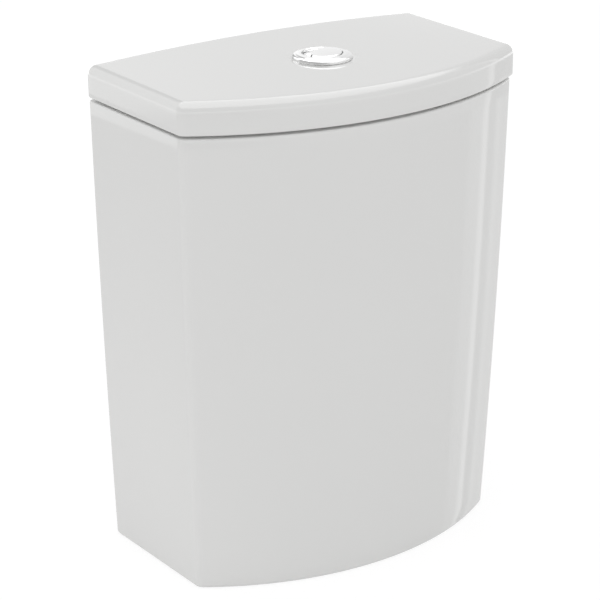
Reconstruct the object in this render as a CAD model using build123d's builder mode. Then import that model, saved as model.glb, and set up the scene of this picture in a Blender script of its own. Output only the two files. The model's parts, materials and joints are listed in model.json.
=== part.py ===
from build123d import *
from math import asin, cos, radians, sin, sqrt
import os

os.makedirs("parts", exist_ok=True)

# A close-coupled toilet cistern: a bow-fronted, tapered tank of glazed china with a crowned
# lid, a round dual push button, a drop valve under the button and a float valve beside it.
# Frame: millimetres, +Z up, the wall behind is at +Y, the bowed front looks along -Y, and
# the origin is on the plane of the base rim at the middle of the footprint.

# Lid, seen in plan and from the side
lid_back_half = 152.5
lid_side_taper = 0.4
lid_side_depth = 136.1
lid_bow_depth = 46.3
lid_side_height = 24.9
lid_back_crown = 5.2
lid_front_crown = 0.4
lid_back_corner = 7.8
lid_front_corner = 8.5
lid_top_round = 7.4
lid_lower_round = 2.2
lid_roof = 12.0
lid_foot_inset = 3.4
lid_shadow_gap = 0.8
lid_rib_depth = 6.0
lid_rib_width = 6.0
lid_rib_clearance = 3.0

# Tank: outline at its base, overhang of the lid at its top, walls and raised floor
tank_height = 365.8
tank_side_overhang = 1.4
tank_front_overhang = 1.9
tank_bulge = 1.2
tank_wall = 9.5
tank_floor = 12.0
tank_back_corner = 6.0
tank_front_corner = 8.0
tank_top_round = 2.2
tank_base_round = 3.0
base_back_half = 141.0
base_side_taper = 2.4
base_side_depth = 124.0
base_bow_depth = 43.8
recess_depth = 40.0
back_skim = 0.3
wall_hole_spacing = 200.0
wall_hole_drop = 40.8
wall_hole_radius = 4.0
bolt_spacing = 150.0
bolt_hole_gap = 1.5
inlet_offset = 108.0
inlet_hole_gap = 2.02
outlet_hole_gap = 2.2

# One overrun serves all cuts; then the gaps at rest, of a nut on its thread and of a pin
overrun = 2.0
rest_gap = 0.3
thread_gap = 0.1
pin_gap = 0.05

# The button and the drop valve share one upright axis. The split's angle is that of the
# line, seen from above, from the half-flush button to the full-flush button.
button_from_wall = 94.4
split_angle = -54.5

# Chrome bezel on its flat seat in the lid
bezel_radius = 22.7
bezel_opening = 15.6
bezel_wall_height = 3.8
bezel_rim_height = 4.8
bezel_skirt = 1.4
bezel_recess = 2.0
bezel_edge_round = 0.7
seat_sink = 0.9
seat_margin = 0.4

# Buttons: a large full-flush lens and a half-flush crescent
button_gap = 0.4
button_lip = 0.4
button_flange = 6.7
button_edge_sink = 0.4
button_boss = 4.0
button_boss_wall = 0.7
button_bore_depth = 6.0
split_mid = 6.0
split_radius = 40.0
split_gap = 0.5
dome_radius = 62.0
dome_rise = 1.2
dish_radius = 17.0
dish_depth = 1.3

# Threaded sleeve that guides the buttons, with its washer and nut under the lid
sleeve_wall = 2.7
sleeve_length = 38.0
sleeve_floor = 3.0
lid_hole_gap = 1.0
gasket_width = 7.0
gasket_thickness = 2.5
locknut_width = 6.0
locknut_height = 10.0
locknut_grips = 8
locknut_grip_radius = 3.0

# Push rods and return springs: how far each rod stands from the axis, and sizes
rod_radius = 2.5
full_rod_reach = 7.0
half_rod_reach = 10.5
spring_gap = 0.2
spring_wire = 0.9

# Rockers, and the angle that each turns through at the button's full stroke of 7 mm
rocker_room = 28.5
pivot_offset = 5.0
rocker_half_thickness = 2.5
rocker_width = 7.0
rocker_lane = 5.0
rocker_lift_arm = 17.0
rocker_pad_overhang = 2.0
rocker_hub_wall = 2.2
rocker_flange = 1.0
rocker_pocket = 2.5
pin_radius = 2.0
full_swing = 33.4
half_swing = 25.6

# Drop valve base, its seal washer, nut and foam ring. The bore flares a little at the seat.
tail_radius = 29.8
tail_bore = 25.0
tail_clearance = 6.0
throat_flare = 0.5
outlet_seal_margin = 3.0
outlet_seal_thickness = 3.0
base_flange_margin = 3.0
base_flange = 4.0
seat_wall = 2.5
seat_rise = 5.0
seat_bevel = 1.0
collar_thickness = 2.0
collar_rise = 3.0
backnut_width = 8.2
backnut_height = 10.0
backnut_corner = 3.0
doughnut_width = 16.2
doughnut_foot_width = 11.2
doughnut_clearance = 3.0
doughnut_taper = 10.0

# Seal, its carrier and the overflow tube
seal_thickness = 3.0
seal_overhang = 1.0
seal_inner_overlap = 6.0
carrier_lip = 2.5
carrier_lip_depth = 2.5
carrier_disc = 3.0
carrier_disc_inset = 2.0
carrier_hub_wall = 2.0
carrier_hub = 4.0
tube_radius = 13.0
tube_wall = 1.8
lift_clearance = 3.2

# Cage of the drop valve, with its spider
cage_radius = 34.0
cage_wall = 2.5
cage_band = 5.0
cage_foot = 8.0
cage_middle_share = 0.494
cage_window_half = 20.0
cage_rib_depth = 1.5
cage_rib_width = 2.5
spider_thickness = 4.0
spider_wall = 4.0
spoke_width = 3.0
spoke_angle = 45.0

# Cage head and the lift bars that pass it
bridge_leg = 38.0
head_plate = 4.0
head_rim_width = 2.0
head_rim_depth = 6.0
bridge_end_inset = 3.0
bridge_wall = 3.0
bridge_rise = 5.0
arch_clearance = 1.0
bar_gap = 1.0
lift_bar_thickness = 3.0
lift_slot_gap = 0.6
tab_gap = 0.9
tab_thickness = 4.0
clip_wall = 2.0
tube_stand = 6.0

# Lifter and the two floats in the cage
lifter_wall = 2.2
lifter_drop = 20.0
lifter_arm = 6.0
float_wall = 1.6
float_cage_gap = 6.0
full_float_clearance = 6.0
half_float_drop = 48.0

# Studs through the tank's floor, each with a rubber cone, washer and nut. A thread is a plain
# cylinder: at its outside radius where it is free, and less its depth from its nut upwards.
stud_radius = 4.0
stud_thread_depth = 0.4
stud_clearance = 4.0
stud_head_radius = 9.0
stud_head = 6.0
rubber_width = 9.0
rubber_neck_width = 6.5
rubber_thickness = 8.0
rubber_lip = 4.0
steel_washer_width = 8.0
steel_washer = 1.6
locknut_half_flats = 6.5
locknut_thickness = 6.5

# Fill valve: shank with a half inch thread, filter, washer and nut
shank_radius = 10.48
shank_thread_depth = 0.58
shank_bore = 6.0
shank_clearance = 4.0
shank_flange_width = 6.52
shank_flange = 4.0
shank_seal_thickness = 3.0
shank_nut_width = 3.52
shank_nut_height = 9.0
lower_riser_wall = 3.0
lower_riser_top = 150.0
filter_wall = 1.0
filter_length = 32.0
filter_rows = 4
filter_row_pitch = 6.0
filter_slot_width = 1.6
filter_slot_height = 4.0
filter_slot_rise = 8.0

# Riser tube and its collar, and how far the riser's top lies under the tank's
riser_wall = 2.9
riser_bottom = 120.0
riser_drop = 110.8
riser_collar_width = 4.0
riser_collar_height = 16.0
riser_collar_lip = 6.0
collar_flutes = 16
collar_flute_radius = 1.0

# Valve head with its cap, diaphragm, spout and silencer tube
head_width = 4.0
head_height = 22.0
head_socket = 8.0
head_chamber_wall = 3.5
head_chamber = 6.0
diaphragm_thickness = 2.5
spout_reach = 24.0
spout_radius = 8.5
spout_bore = 5.0
spout_width = 12.0
spout_height = 11.0
spout_nozzle = 8.0
silencer_wall = 2.0
silencer_clearance = 20.0
cap_width = 2.0
cap_skirt = 5.0
cap_crown = 5.0
cap_flutes = 20
cap_flute_radius = 0.7
cap_plinth = 3.0
cap_plinth_wall = 1.0
pilot_radius = 1.2

# Lever with its pin, pilot seal and stub, and the eye of the float's link
lever_pivot_x = 12.0
lever_pivot_rise = 9.0
lever_pin_radius = 1.5
lever_half_thickness = 3.0
lever_width = 8.0
lever_reach = 40.0
ear_thickness = 3.0
ear_half_width = 4.0
pilot_seal_radius = 3.0
stub_length = 6.0
eye_thickness = 4.0
eye_wall = 2.8
eye_gap = 0.2
float_rise = 12.0
link_radius = 2.0

# Float of the fill valve
cup_length = 40.0
cup_width = 56.0
cup_corner = 8.0
cup_wall = 2.0
cup_top_round = 3.0
cup_height = 60.0
cup_drop = 71.0
cup_riser_clearance = 4.5
guide_wall = 2.5
guide_height = 8.0
boss_wall = 3.0
boss_height = 8.0
clip_half_width = 4.5
clip_thickness = 5.0

lid_front_half = lid_back_half - lid_side_taper
base_front_half = base_back_half - base_side_taper
wall_y = (lid_side_depth + lid_bow_depth) / 2
valve_y = wall_y - button_from_wall
floor_top = recess_depth + tank_floor
lid_top = tank_height + lid_side_height
roof_height = lid_top - lid_roof


def crown_at(y):
    """Height of the lid's crown over its side edges, on the middle line, at a depth y."""
    share = (y + wall_y) / (2 * wall_y)
    return lid_front_crown + (lid_back_crown - lid_front_crown) * share


def bow_section(height, sizes, inset, back_y, back_corner, front_corner):
    """A bow-fronted face at a height, drawn in by an inset, with its back edge at back_y."""
    back_half, front_half, side_depth, bow_depth = sizes
    bow_radius = (front_half**2 + bow_depth**2) / (2 * bow_depth)
    bow_centre = wall_y - side_depth - bow_depth + bow_radius
    radius = bow_radius - inset
    front = front_half - inset
    back = back_half - inset
    corner_y = bow_centre - sqrt(radius**2 - front**2)
    with BuildSketch(Plane.XY.offset(height)) as section:
        with BuildLine():
            Polyline((-front, corner_y), (-back, back_y), (back, back_y), (front, corner_y))
            ThreePointArc((front, corner_y), (0, bow_centre - radius), (-front, corner_y))
        make_face()
        fillet(section.vertices().group_by(Axis.Y)[0], front_corner)
        fillet(section.vertices().group_by(Axis.Y)[-1], back_corner)
    return section.sketch


def lid_section(height, inset):
    """The lid's outline at a height, drawn in by an inset."""
    sizes = (lid_back_half, lid_front_half, lid_side_depth, lid_bow_depth)
    return bow_section(height, sizes, inset, wall_y - inset, lid_back_corner, lid_front_corner)


def tank_sizes(height):
    """Back and front half widths, side depth and bow depth of the tank at a height."""
    rise = height / tank_height
    bulge = 4 * tank_bulge * rise * (1 - rise)
    top_back_half = lid_back_half - tank_side_overhang
    top_front_half = lid_front_half - tank_side_overhang
    top_depth = lid_side_depth + lid_bow_depth - tank_front_overhang
    base_depth = base_side_depth + base_bow_depth
    bow_depth = base_bow_depth + (lid_bow_depth - base_bow_depth) * rise
    back_half = base_back_half + (top_back_half - base_back_half) * rise + bulge
    front_half = base_front_half + (top_front_half - base_front_half) * rise + bulge
    depth = base_depth + (top_depth - base_depth) * rise + bulge
    return back_half, front_half, depth - bow_depth, bow_depth


def outer_section(height):
    """The tank's outline at a height, run a little past the wall for a flat back."""
    back_y = wall_y + back_skim
    return bow_section(height, tank_sizes(height), 0, back_y, tank_back_corner, tank_front_corner)


def inner_section(height):
    """The outline of the tank's inside at a height."""
    return bow_section(
        height,
        tank_sizes(height),
        tank_wall,
        wall_y - tank_wall,
        tank_back_corner + tank_base_round,
        tank_front_corner + tank_base_round,
    )


# Tank: lofted shell with a raised floor, so that the rim hides the fixings under it
tank_levels = [0, tank_height / 2, tank_height]
cavity_levels = [floor_top, (floor_top + tank_height) / 2, tank_height]
recess_levels = [0, recess_depth / 2, recess_depth]
with BuildPart() as tank:
    loft([outer_section(level) for level in tank_levels])
    split(bisect_by=Plane(origin=(0, wall_y, 0), z_dir=(0, 1, 0)), keep=Keep.BOTTOM)
    fillet(tank.faces().sort_by(Axis.Z)[-1].edges(), tank_top_round)
    fillet(tank.faces().sort_by(Axis.Z)[0].edges(), tank_base_round)
    loft([inner_section(level) for level in cavity_levels], mode=Mode.SUBTRACT)
    loft([inner_section(level) for level in recess_levels], mode=Mode.SUBTRACT)
    # Holes through the raised floor, on the line of the outlet
    with BuildSketch(Plane.XY.offset(recess_depth - overrun)):
        with Locations((0, valve_y)):
            Circle(tail_radius + outlet_hole_gap)
        with Locations((-bolt_spacing / 2, valve_y), (bolt_spacing / 2, valve_y)):
            Circle(stud_radius + bolt_hole_gap)
        with Locations((-inlet_offset, valve_y)):
            Circle(shank_radius + inlet_hole_gap)
    extrude(amount=tank_floor + 2 * overrun, mode=Mode.SUBTRACT)
    # Two holes for the wall screws, near the top of the back
    with BuildSketch(Plane.XZ.offset(-wall_y - overrun)):
        with Locations((0, tank_height - wall_hole_drop)):
            with GridLocations(wall_hole_spacing, 0, 2, 1):
                Circle(wall_hole_radius)
    extrude(amount=tank_wall + 2 * overrun, mode=Mode.SUBTRACT)
tank.part.label = "tank"
export_step(tank.part, "parts/tank.step")

# Chrome bezel and the push buttons: radii, and heights over the flat seat in the lid
sleeve_bore = bezel_opening + button_lip + rest_gap
sleeve_radius = sleeve_bore + sleeve_wall
lid_hole_radius = sleeve_radius + lid_hole_gap
seat_height = lid_top + crown_at(valve_y) - seat_sink

# Lid: crowned top that falls towards the front, hollow underside and a locating rib
crown_half = lid_back_half + overrun
rib_inset = tank_side_overhang + tank_wall + lid_rib_clearance
rib_bottom = tank_height - lid_rib_depth


def crown_section(y):
    """The lid's cross section at a depth y, wider than the lid, under its crown."""
    crown = crown_at(y)
    edge = lid_top + crown - crown * (crown_half / lid_back_half) ** 2
    with BuildSketch(Plane.XZ.offset(-y)) as section:
        with BuildLine():
            Polyline(
                (-crown_half, edge),
                (-crown_half, tank_height),
                (crown_half, tank_height),
                (crown_half, edge),
            )
            ThreePointArc((crown_half, edge), (0, lid_top + crown), (-crown_half, edge))
        make_face()
    return section.sketch


with BuildPart() as lid:
    extrude(lid_section(tank_height + lid_shadow_gap, 0), amount=lid_side_height + lid_back_crown)
    crown_sections = [crown_section(wall_y + overrun), crown_section(-wall_y - overrun)]
    loft(crown_sections, ruled=True, mode=Mode.INTERSECT)
    fillet(lid.faces().sort_by(Axis.Z)[-1].edges(), lid_top_round)
    fillet(lid.faces().sort_by(Axis.Z)[0].edges(), lid_lower_round)
    # The foot that rests on the tank, set in behind the shadow gap
    extrude(lid_section(tank_height, lid_foot_inset), amount=lid_lower_round)
    # The rib that keeps the lid in the tank's mouth
    extrude(lid_section(rib_bottom, rib_inset), amount=lid_rib_depth + lid_lower_round)
    extrude(
        lid_section(rib_bottom - overrun, rib_inset + lid_rib_width),
        amount=roof_height - rib_bottom + overrun,
        mode=Mode.SUBTRACT,
    )
    # Hole and flat seat for the push button
    with BuildSketch(Plane.XY.offset(roof_height - overrun)):
        with Locations((0, valve_y)):
            Circle(lid_hole_radius)
    extrude(amount=lid_roof + lid_back_crown + 2 * overrun, mode=Mode.SUBTRACT)
    with BuildSketch(Plane.XY.offset(seat_height)):
        with Locations((0, valve_y)):
            Circle(bezel_radius + seat_margin)
    extrude(amount=lid_back_crown, mode=Mode.SUBTRACT)
lid.part.label = "lid"
export_step(lid.part, "parts/lid.step")

# Planes of the button and drop valve: along the plan split, and a section through the axis
valve_axis = Axis((0, valve_y, 0), (0, 0, 1))
valve_section = Plane(origin=(0, valve_y, 0), x_dir=(1, 0, 0), z_dir=(0, -1, 0))
valve_plan = Plane(
    origin=(0, valve_y, 0),
    x_dir=(cos(radians(split_angle)), sin(radians(split_angle)), 0),
    z_dir=(0, 0, 1),
)

with BuildPart() as button_bezel:
    with BuildSketch(valve_section) as bezel_profile:
        with BuildLine():
            Polyline(
                (bezel_radius - bezel_skirt, seat_height),
                (bezel_radius, seat_height),
                (bezel_radius, seat_height + bezel_wall_height),
                (bezel_opening, seat_height + bezel_rim_height),
                (bezel_opening, seat_height + bezel_recess),
                (bezel_radius - bezel_skirt, seat_height + bezel_recess),
                close=True,
            )
        make_face()
        fillet(bezel_profile.vertices().sort_by(Axis.Y)[-2:], bezel_edge_round)
    revolve(axis=valve_axis)
button_bezel.part.label = "button_bezel"
export_step(button_bezel.part, "parts/button_bezel.step")

# Threaded sleeve that carries the bezel and guides the two buttons
sleeve_flange_radius = bezel_radius - bezel_skirt - rest_gap
sleeve_flange = bezel_recess - rest_gap
sleeve_bottom = seat_height - sleeve_length
sleeve_floor_top = sleeve_bottom + sleeve_floor

# Places of the push rods along and across the split
full_rod_place = (full_rod_reach, rocker_lane)
half_rod_place = (-half_rod_reach, -rocker_lane)

with BuildPart() as button_sleeve:
    with BuildSketch(valve_section):
        with BuildLine():
            Polyline(
                (0, sleeve_bottom),
                (sleeve_radius, sleeve_bottom),
                (sleeve_radius, seat_height),
                (sleeve_flange_radius, seat_height),
                (sleeve_flange_radius, seat_height + sleeve_flange),
                (sleeve_bore, seat_height + sleeve_flange),
                (sleeve_bore, sleeve_floor_top),
                (0, sleeve_floor_top),
                close=True,
            )
        make_face()
    revolve(axis=valve_axis)
    with BuildSketch(valve_plan.offset(sleeve_bottom - overrun)):
        with Locations(full_rod_place, half_rod_place):
            Circle(rod_radius + pin_gap)
    extrude(amount=sleeve_floor + 2 * overrun, mode=Mode.SUBTRACT)
button_sleeve.part.label = "button_sleeve"
export_step(button_sleeve.part, "parts/button_sleeve.step")

# Rubber washer and nut that clamp the sleeve to the lid from below
gasket_radius = sleeve_radius + gasket_width
locknut_radius = sleeve_radius + locknut_width
locknut_top = roof_height - gasket_thickness

with BuildPart() as button_gasket:
    with BuildSketch(valve_plan.offset(locknut_top)):
        Circle(gasket_radius)
        Circle(sleeve_radius + rest_gap, mode=Mode.SUBTRACT)
    extrude(amount=gasket_thickness)
button_gasket.part.label = "button_gasket"
export_step(button_gasket.part, "parts/button_gasket.step")

with BuildPart() as button_locknut:
    with BuildSketch(valve_plan.offset(locknut_top - locknut_height)):
        Circle(locknut_radius)
        with PolarLocations(locknut_radius, locknut_grips):
            Circle(locknut_grip_radius)
        Circle(sleeve_radius + thread_gap, mode=Mode.SUBTRACT)
    extrude(amount=locknut_height)
button_locknut.part.label = "button_locknut"
export_step(button_locknut.part, "parts/button_locknut.step")

# Dual button: a large full-flush lens and a smaller half-flush crescent
button_radius = bezel_opening - button_gap
button_flange_radius = bezel_opening + button_lip
button_boss_radius = rod_radius + button_boss_wall
button_flange_top = seat_height + sleeve_flange
button_bottom = button_flange_top - button_flange
button_edge_top = seat_height + bezel_rim_height - button_edge_sink
split_centre = split_radius - split_mid

with BuildPart() as full_flush_button:
    with BuildSketch(valve_plan.offset(button_bottom)):
        Circle(button_flange_radius)
        with Locations((split_centre, 0)):
            Circle(split_radius - split_gap / 2, mode=Mode.INTERSECT)
    extrude(amount=button_flange)
    with BuildSketch(valve_plan.offset(button_flange_top)):
        Circle(button_radius)
        with Locations((split_centre, 0)):
            Circle(split_radius - split_gap / 2, mode=Mode.INTERSECT)
    extrude(amount=button_edge_top + dome_rise - button_flange_top)
    with Locations(valve_plan.offset(button_edge_top + dome_rise - dome_radius).location):
        Sphere(dome_radius, mode=Mode.INTERSECT)
    with BuildSketch(valve_plan.offset(button_bottom - button_boss)):
        with Locations(full_rod_place):
            Circle(button_boss_radius)
    extrude(amount=button_boss)
    with BuildSketch(valve_plan.offset(button_bottom - button_boss)):
        with Locations(full_rod_place):
            Circle(rod_radius + pin_gap)
    extrude(amount=button_bore_depth, mode=Mode.SUBTRACT)
full_flush_button.part.label = "full_flush_button"
export_step(full_flush_button.part, "parts/full_flush_button.step")

dish_place = (-(split_mid + button_radius) / 2, 0)
with BuildPart() as half_flush_button:
    with BuildSketch(valve_plan.offset(button_bottom)):
        Circle(button_flange_radius)
        with Locations((split_centre, 0)):
            Circle(split_radius + split_gap / 2, mode=Mode.SUBTRACT)
    extrude(amount=button_flange)
    with BuildSketch(valve_plan.offset(button_flange_top)):
        Circle(button_radius)
        with Locations((split_centre, 0)):
            Circle(split_radius + split_gap / 2, mode=Mode.SUBTRACT)
    extrude(amount=button_edge_top - button_flange_top)
    dish_plane = valve_plan.offset(button_edge_top - dish_depth + dish_radius)
    with Locations(dish_plane * Location((*dish_place, 0))):
        Sphere(dish_radius, mode=Mode.SUBTRACT)
    with BuildSketch(valve_plan.offset(button_bottom - button_boss)):
        with Locations(half_rod_place):
            Circle(button_boss_radius)
    extrude(amount=button_boss)
    with BuildSketch(valve_plan.offset(button_bottom - button_boss)):
        with Locations(half_rod_place):
            Circle(rod_radius + pin_gap)
    extrude(amount=button_bore_depth, mode=Mode.SUBTRACT)
half_flush_button.part.label = "half_flush_button"
export_step(half_flush_button.part, "parts/half_flush_button.step")

# Rockers: each turns on a pin past the axis from its rod, and lifts on that same side
pivot_height = sleeve_bottom - rocker_room
rocker_hub_radius = pin_radius + rocker_hub_wall
spring_bore = button_boss_radius + spring_gap
spring_radius = spring_bore + spring_wire
rod_bottom = pivot_height + rocker_half_thickness + rest_gap
rod_top = button_bottom - button_boss + button_bore_depth - rest_gap
spring_bottom = sleeve_floor_top + rest_gap
spring_length = button_bottom - rest_gap - spring_bottom


def rod_solid(place):
    """A push rod with a rounded tip, standing over its rocker at a place in the plan."""
    with BuildPart() as rod:
        with BuildSketch(valve_plan.offset(rod_bottom + rod_radius)):
            with Locations(place):
                Circle(rod_radius)
        extrude(amount=rod_top - rod_bottom - rod_radius)
        with Locations(valve_plan.offset(rod_bottom + rod_radius) * Location((*place, 0))):
            Sphere(rod_radius)
    return rod


def spring_solid(place):
    """The sleeve that a button's return spring fills, around its rod."""
    with BuildPart() as spring:
        with BuildSketch(valve_plan.offset(spring_bottom)):
            with Locations(place):
                Circle(spring_radius)
                Circle(spring_bore, mode=Mode.SUBTRACT)
        extrude(amount=spring_length)
    return spring


full_push_rod = rod_solid(full_rod_place)
full_push_rod.part.label = "full_push_rod"
export_step(full_push_rod.part, "parts/full_push_rod.step")

half_push_rod = rod_solid(half_rod_place)
half_push_rod.part.label = "half_push_rod"
export_step(half_push_rod.part, "parts/half_push_rod.step")

full_button_spring = spring_solid(full_rod_place)
full_button_spring.part.label = "full_button_spring"
export_step(full_button_spring.part, "parts/full_button_spring.step")

half_button_spring = spring_solid(half_rod_place)
half_button_spring.part.label = "half_button_spring"
export_step(half_button_spring.part, "parts/half_button_spring.step")

# Upright planes of the drop valve: across the lanes of the two rockers
lane_plane = Plane(origin=valve_plan.origin, x_dir=valve_plan.x_dir, z_dir=-valve_plan.y_dir)
full_lane = lane_plane.offset(-rocker_lane - rocker_width / 2)
half_lane = lane_plane.offset(rocker_lane - rocker_width / 2)


def rocker_solid(lane, pivot, rod_end, lift_end):
    """A rocker bar with a hub on its pivot, and a pocket along each side of each arm."""
    pocket_radius = rocker_half_thickness - rocker_flange
    clear = rocker_hub_radius + rocker_flange + pocket_radius
    side = 1 if rod_end > pivot else -1
    arms = ((rod_end, pivot + side * clear), (lift_end, pivot - side * clear))
    with BuildPart() as rocker:
        with BuildSketch(lane):
            with Locations(((rod_end + lift_end) / 2, pivot_height)):
                SlotCenterToCenter(abs(rod_end - lift_end), 2 * rocker_half_thickness)
            with Locations((pivot, pivot_height)):
                Circle(rocker_hub_radius)
                Circle(pin_radius + pin_gap, mode=Mode.SUBTRACT)
        extrude(amount=rocker_width)
        for start in (0, rocker_width - rocker_pocket):
            with BuildSketch(lane.offset(start)):
                for end, inner in arms:
                    with Locations(((end + inner) / 2, pivot_height)):
                        SlotCenterToCenter(abs(end - inner), 2 * pocket_radius)
            extrude(amount=rocker_pocket, mode=Mode.SUBTRACT)
    return rocker


full_rocker = rocker_solid(
    full_lane,
    -pivot_offset,
    full_rod_place[0] + rocker_pad_overhang,
    -pivot_offset - rocker_lift_arm,
)
full_rocker.part.label = "full_rocker"
export_step(full_rocker.part, "parts/full_rocker.step")

half_rocker = rocker_solid(
    half_lane,
    pivot_offset,
    half_rod_place[0] - rocker_pad_overhang,
    pivot_offset + rocker_lift_arm,
)
half_rocker.part.label = "half_rocker"
export_step(half_rocker.part, "parts/half_rocker.step")

# Drop valve base: threaded tail, flange on its seal, collar for the cage and raised seat
cage_bore = cage_radius - cage_wall
seat_radius = tail_bore + seat_wall
base_flange_radius = cage_radius + base_flange_margin
outlet_seal_radius = base_flange_radius + outlet_seal_margin
flange_bottom = floor_top + outlet_seal_thickness
flange_top = flange_bottom + base_flange
seat_top = flange_top + seat_rise
collar_radius = cage_bore - rest_gap

with BuildPart() as valve_base:
    with BuildSketch(valve_section):
        with BuildLine():
            Polyline(
                (tail_bore, tail_clearance),
                (tail_radius, tail_clearance),
                (tail_radius, flange_bottom),
                (base_flange_radius, flange_bottom),
                (base_flange_radius, flange_top),
                (collar_radius, flange_top),
                (collar_radius, flange_top + collar_rise),
                (collar_radius - collar_thickness, flange_top + collar_rise),
                (collar_radius - collar_thickness, flange_top),
                (seat_radius, flange_top),
                (seat_radius, seat_top - seat_bevel),
                (seat_radius - seat_bevel, seat_top),
                (tail_bore + throat_flare, seat_top),
                (tail_bore + throat_flare, flange_bottom),
                (tail_bore, flange_bottom - throat_flare),
                close=True,
            )
        make_face()
    revolve(axis=valve_axis)
valve_base.part.label = "valve_base"
export_step(valve_base.part, "parts/valve_base.step")

with BuildPart() as outlet_seal_washer:
    with BuildSketch(valve_plan.offset(floor_top)):
        Circle(outlet_seal_radius)
        Circle(tail_radius + rest_gap, mode=Mode.SUBTRACT)
    extrude(amount=outlet_seal_thickness)
outlet_seal_washer.part.label = "outlet_seal_washer"
export_step(outlet_seal_washer.part, "parts/outlet_seal_washer.step")

# Nut and foam ring under the floor, around the tail
backnut_flats_radius = tail_radius + backnut_width
doughnut_radius = tail_radius + doughnut_width
doughnut_foot_radius = tail_radius + doughnut_foot_width
backnut_bottom = recess_depth - backnut_height
doughnut_top = backnut_bottom - rest_gap

with BuildPart() as outlet_backnut:
    with BuildSketch(valve_plan.offset(backnut_bottom)):
        RegularPolygon(backnut_flats_radius, 6, major_radius=False)
        fillet(vertices(), backnut_corner)
        Circle(tail_radius + thread_gap, mode=Mode.SUBTRACT)
    extrude(amount=backnut_height)
outlet_backnut.part.label = "outlet_backnut"
export_step(outlet_backnut.part, "parts/outlet_backnut.step")

with BuildPart() as doughnut_gasket:
    with BuildSketch(valve_section):
        with BuildLine():
            Polyline(
                (tail_radius + rest_gap, doughnut_clearance),
                (doughnut_foot_radius, doughnut_clearance),
                (doughnut_radius, doughnut_clearance + doughnut_taper),
                (doughnut_radius, doughnut_top),
                (tail_radius + rest_gap, doughnut_top),
                close=True,
            )
        make_face()
    revolve(axis=valve_axis)
doughnut_gasket.part.label = "doughnut_gasket"
export_step(doughnut_gasket.part, "parts/doughnut_gasket.step")

# Seal of the drop valve, and how far each flush lifts it
seal_radius = seat_radius + seal_overhang
seal_bore = tail_bore - seal_inner_overlap
carrier_lip_radius = seal_bore + carrier_lip
carrier_disc_radius = seal_radius - carrier_disc_inset
carrier_hub_radius = tube_radius + carrier_hub_wall
tube_bore = tube_radius - tube_wall
full_lift = rocker_lift_arm * sin(radians(full_swing))
half_lift = rocker_lift_arm * sin(radians(half_swing)) - rest_gap / 2
seal_bottom = seat_top + rest_gap
seal_top = seal_bottom + seal_thickness
carrier_top = seal_top + carrier_disc + carrier_hub
tube_bottom = seal_top + carrier_disc / 2

with BuildPart() as seat_seal:
    with BuildSketch(valve_plan.offset(seal_bottom)):
        Circle(seal_radius)
        Circle(seal_bore, mode=Mode.SUBTRACT)
    extrude(amount=seal_thickness)
seat_seal.part.label = "seat_seal"
export_step(seat_seal.part, "parts/seat_seal.step")

with BuildPart() as seal_carrier:
    with BuildSketch(valve_section):
        with BuildLine():
            Polyline(
                (tube_bore, seal_bottom - carrier_lip_depth),
                (carrier_lip_radius, seal_bottom - carrier_lip_depth),
                (carrier_lip_radius, seal_bottom),
                (seal_bore, seal_bottom),
                (seal_bore, seal_top),
                (carrier_disc_radius, seal_top),
                (carrier_disc_radius, seal_top + carrier_disc),
                (carrier_hub_radius, seal_top + carrier_disc),
                (carrier_hub_radius, carrier_top),
                (tube_radius + pin_gap, carrier_top),
                (tube_radius + pin_gap, tube_bottom),
                (tube_bore, tube_bottom),
                close=True,
            )
        make_face()
    revolve(axis=valve_axis)
seal_carrier.part.label = "seal_carrier"
export_step(seal_carrier.part, "parts/seal_carrier.step")

# Cage: four posts between bands, with a spider that guides the tube and stops the lifter
spider_radius = tube_radius + spider_wall
spider_bottom = carrier_top + full_lift + half_lift + lift_clearance
spider_top = spider_bottom + spider_thickness
cage_top = pivot_height - bridge_leg - head_plate
cage_middle = spider_top + (cage_top - spider_top) * cage_middle_share
window_levels = [
    (flange_top + cage_foot, spider_bottom),
    (spider_top, cage_middle),
    (cage_middle + cage_band, cage_top - cage_band),
]

with BuildPart() as tower_cage:
    with BuildSketch(valve_plan.offset(flange_top)):
        Circle(cage_radius)
        Circle(cage_bore, mode=Mode.SUBTRACT)
    extrude(amount=cage_top - flange_top)
    for low, high in window_levels:
        with BuildSketch(valve_plan.offset(low)):
            Rectangle(2 * (cage_radius + overrun), 2 * cage_window_half)
            Rectangle(2 * cage_window_half, 2 * (cage_radius + overrun))
        extrude(amount=high - low, mode=Mode.SUBTRACT)
    # A rib up the outside of each post, from the foot to the head's rim
    with BuildSketch(valve_plan.offset(flange_top)):
        with PolarLocations(cage_radius, 4, start_angle=spoke_angle):
            Rectangle(2 * cage_rib_depth, cage_rib_width)
    extrude(amount=cage_top - head_rim_depth - rest_gap - flange_top)
    with BuildSketch(valve_plan.offset(spider_bottom)):
        with PolarLocations(0, 2, start_angle=spoke_angle, angular_range=180):
            Rectangle(2 * cage_bore + rest_gap, spoke_width)
        Circle(spider_radius)
        Circle(tube_radius + rest_gap, mode=Mode.SUBTRACT)
    extrude(amount=spider_thickness)
tower_cage.part.label = "tower_cage"
export_step(tower_cage.part, "parts/tower_cage.step")

# Lift bars: the lifter's passes through the head plate, the tube's clips on above it
float_radius = cage_bore - float_cage_gap
lift_bar_inner = float_radius + bar_gap
lift_bar_outer = lift_bar_inner + lift_bar_thickness
bridge_half_length = pivot_offset + rocker_lift_arm - bridge_end_inset
tab_inner = bridge_half_length + tab_gap
tab_bottom = pivot_height + rocker_half_thickness + rest_gap
tab_top = tab_bottom + tab_thickness

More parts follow.
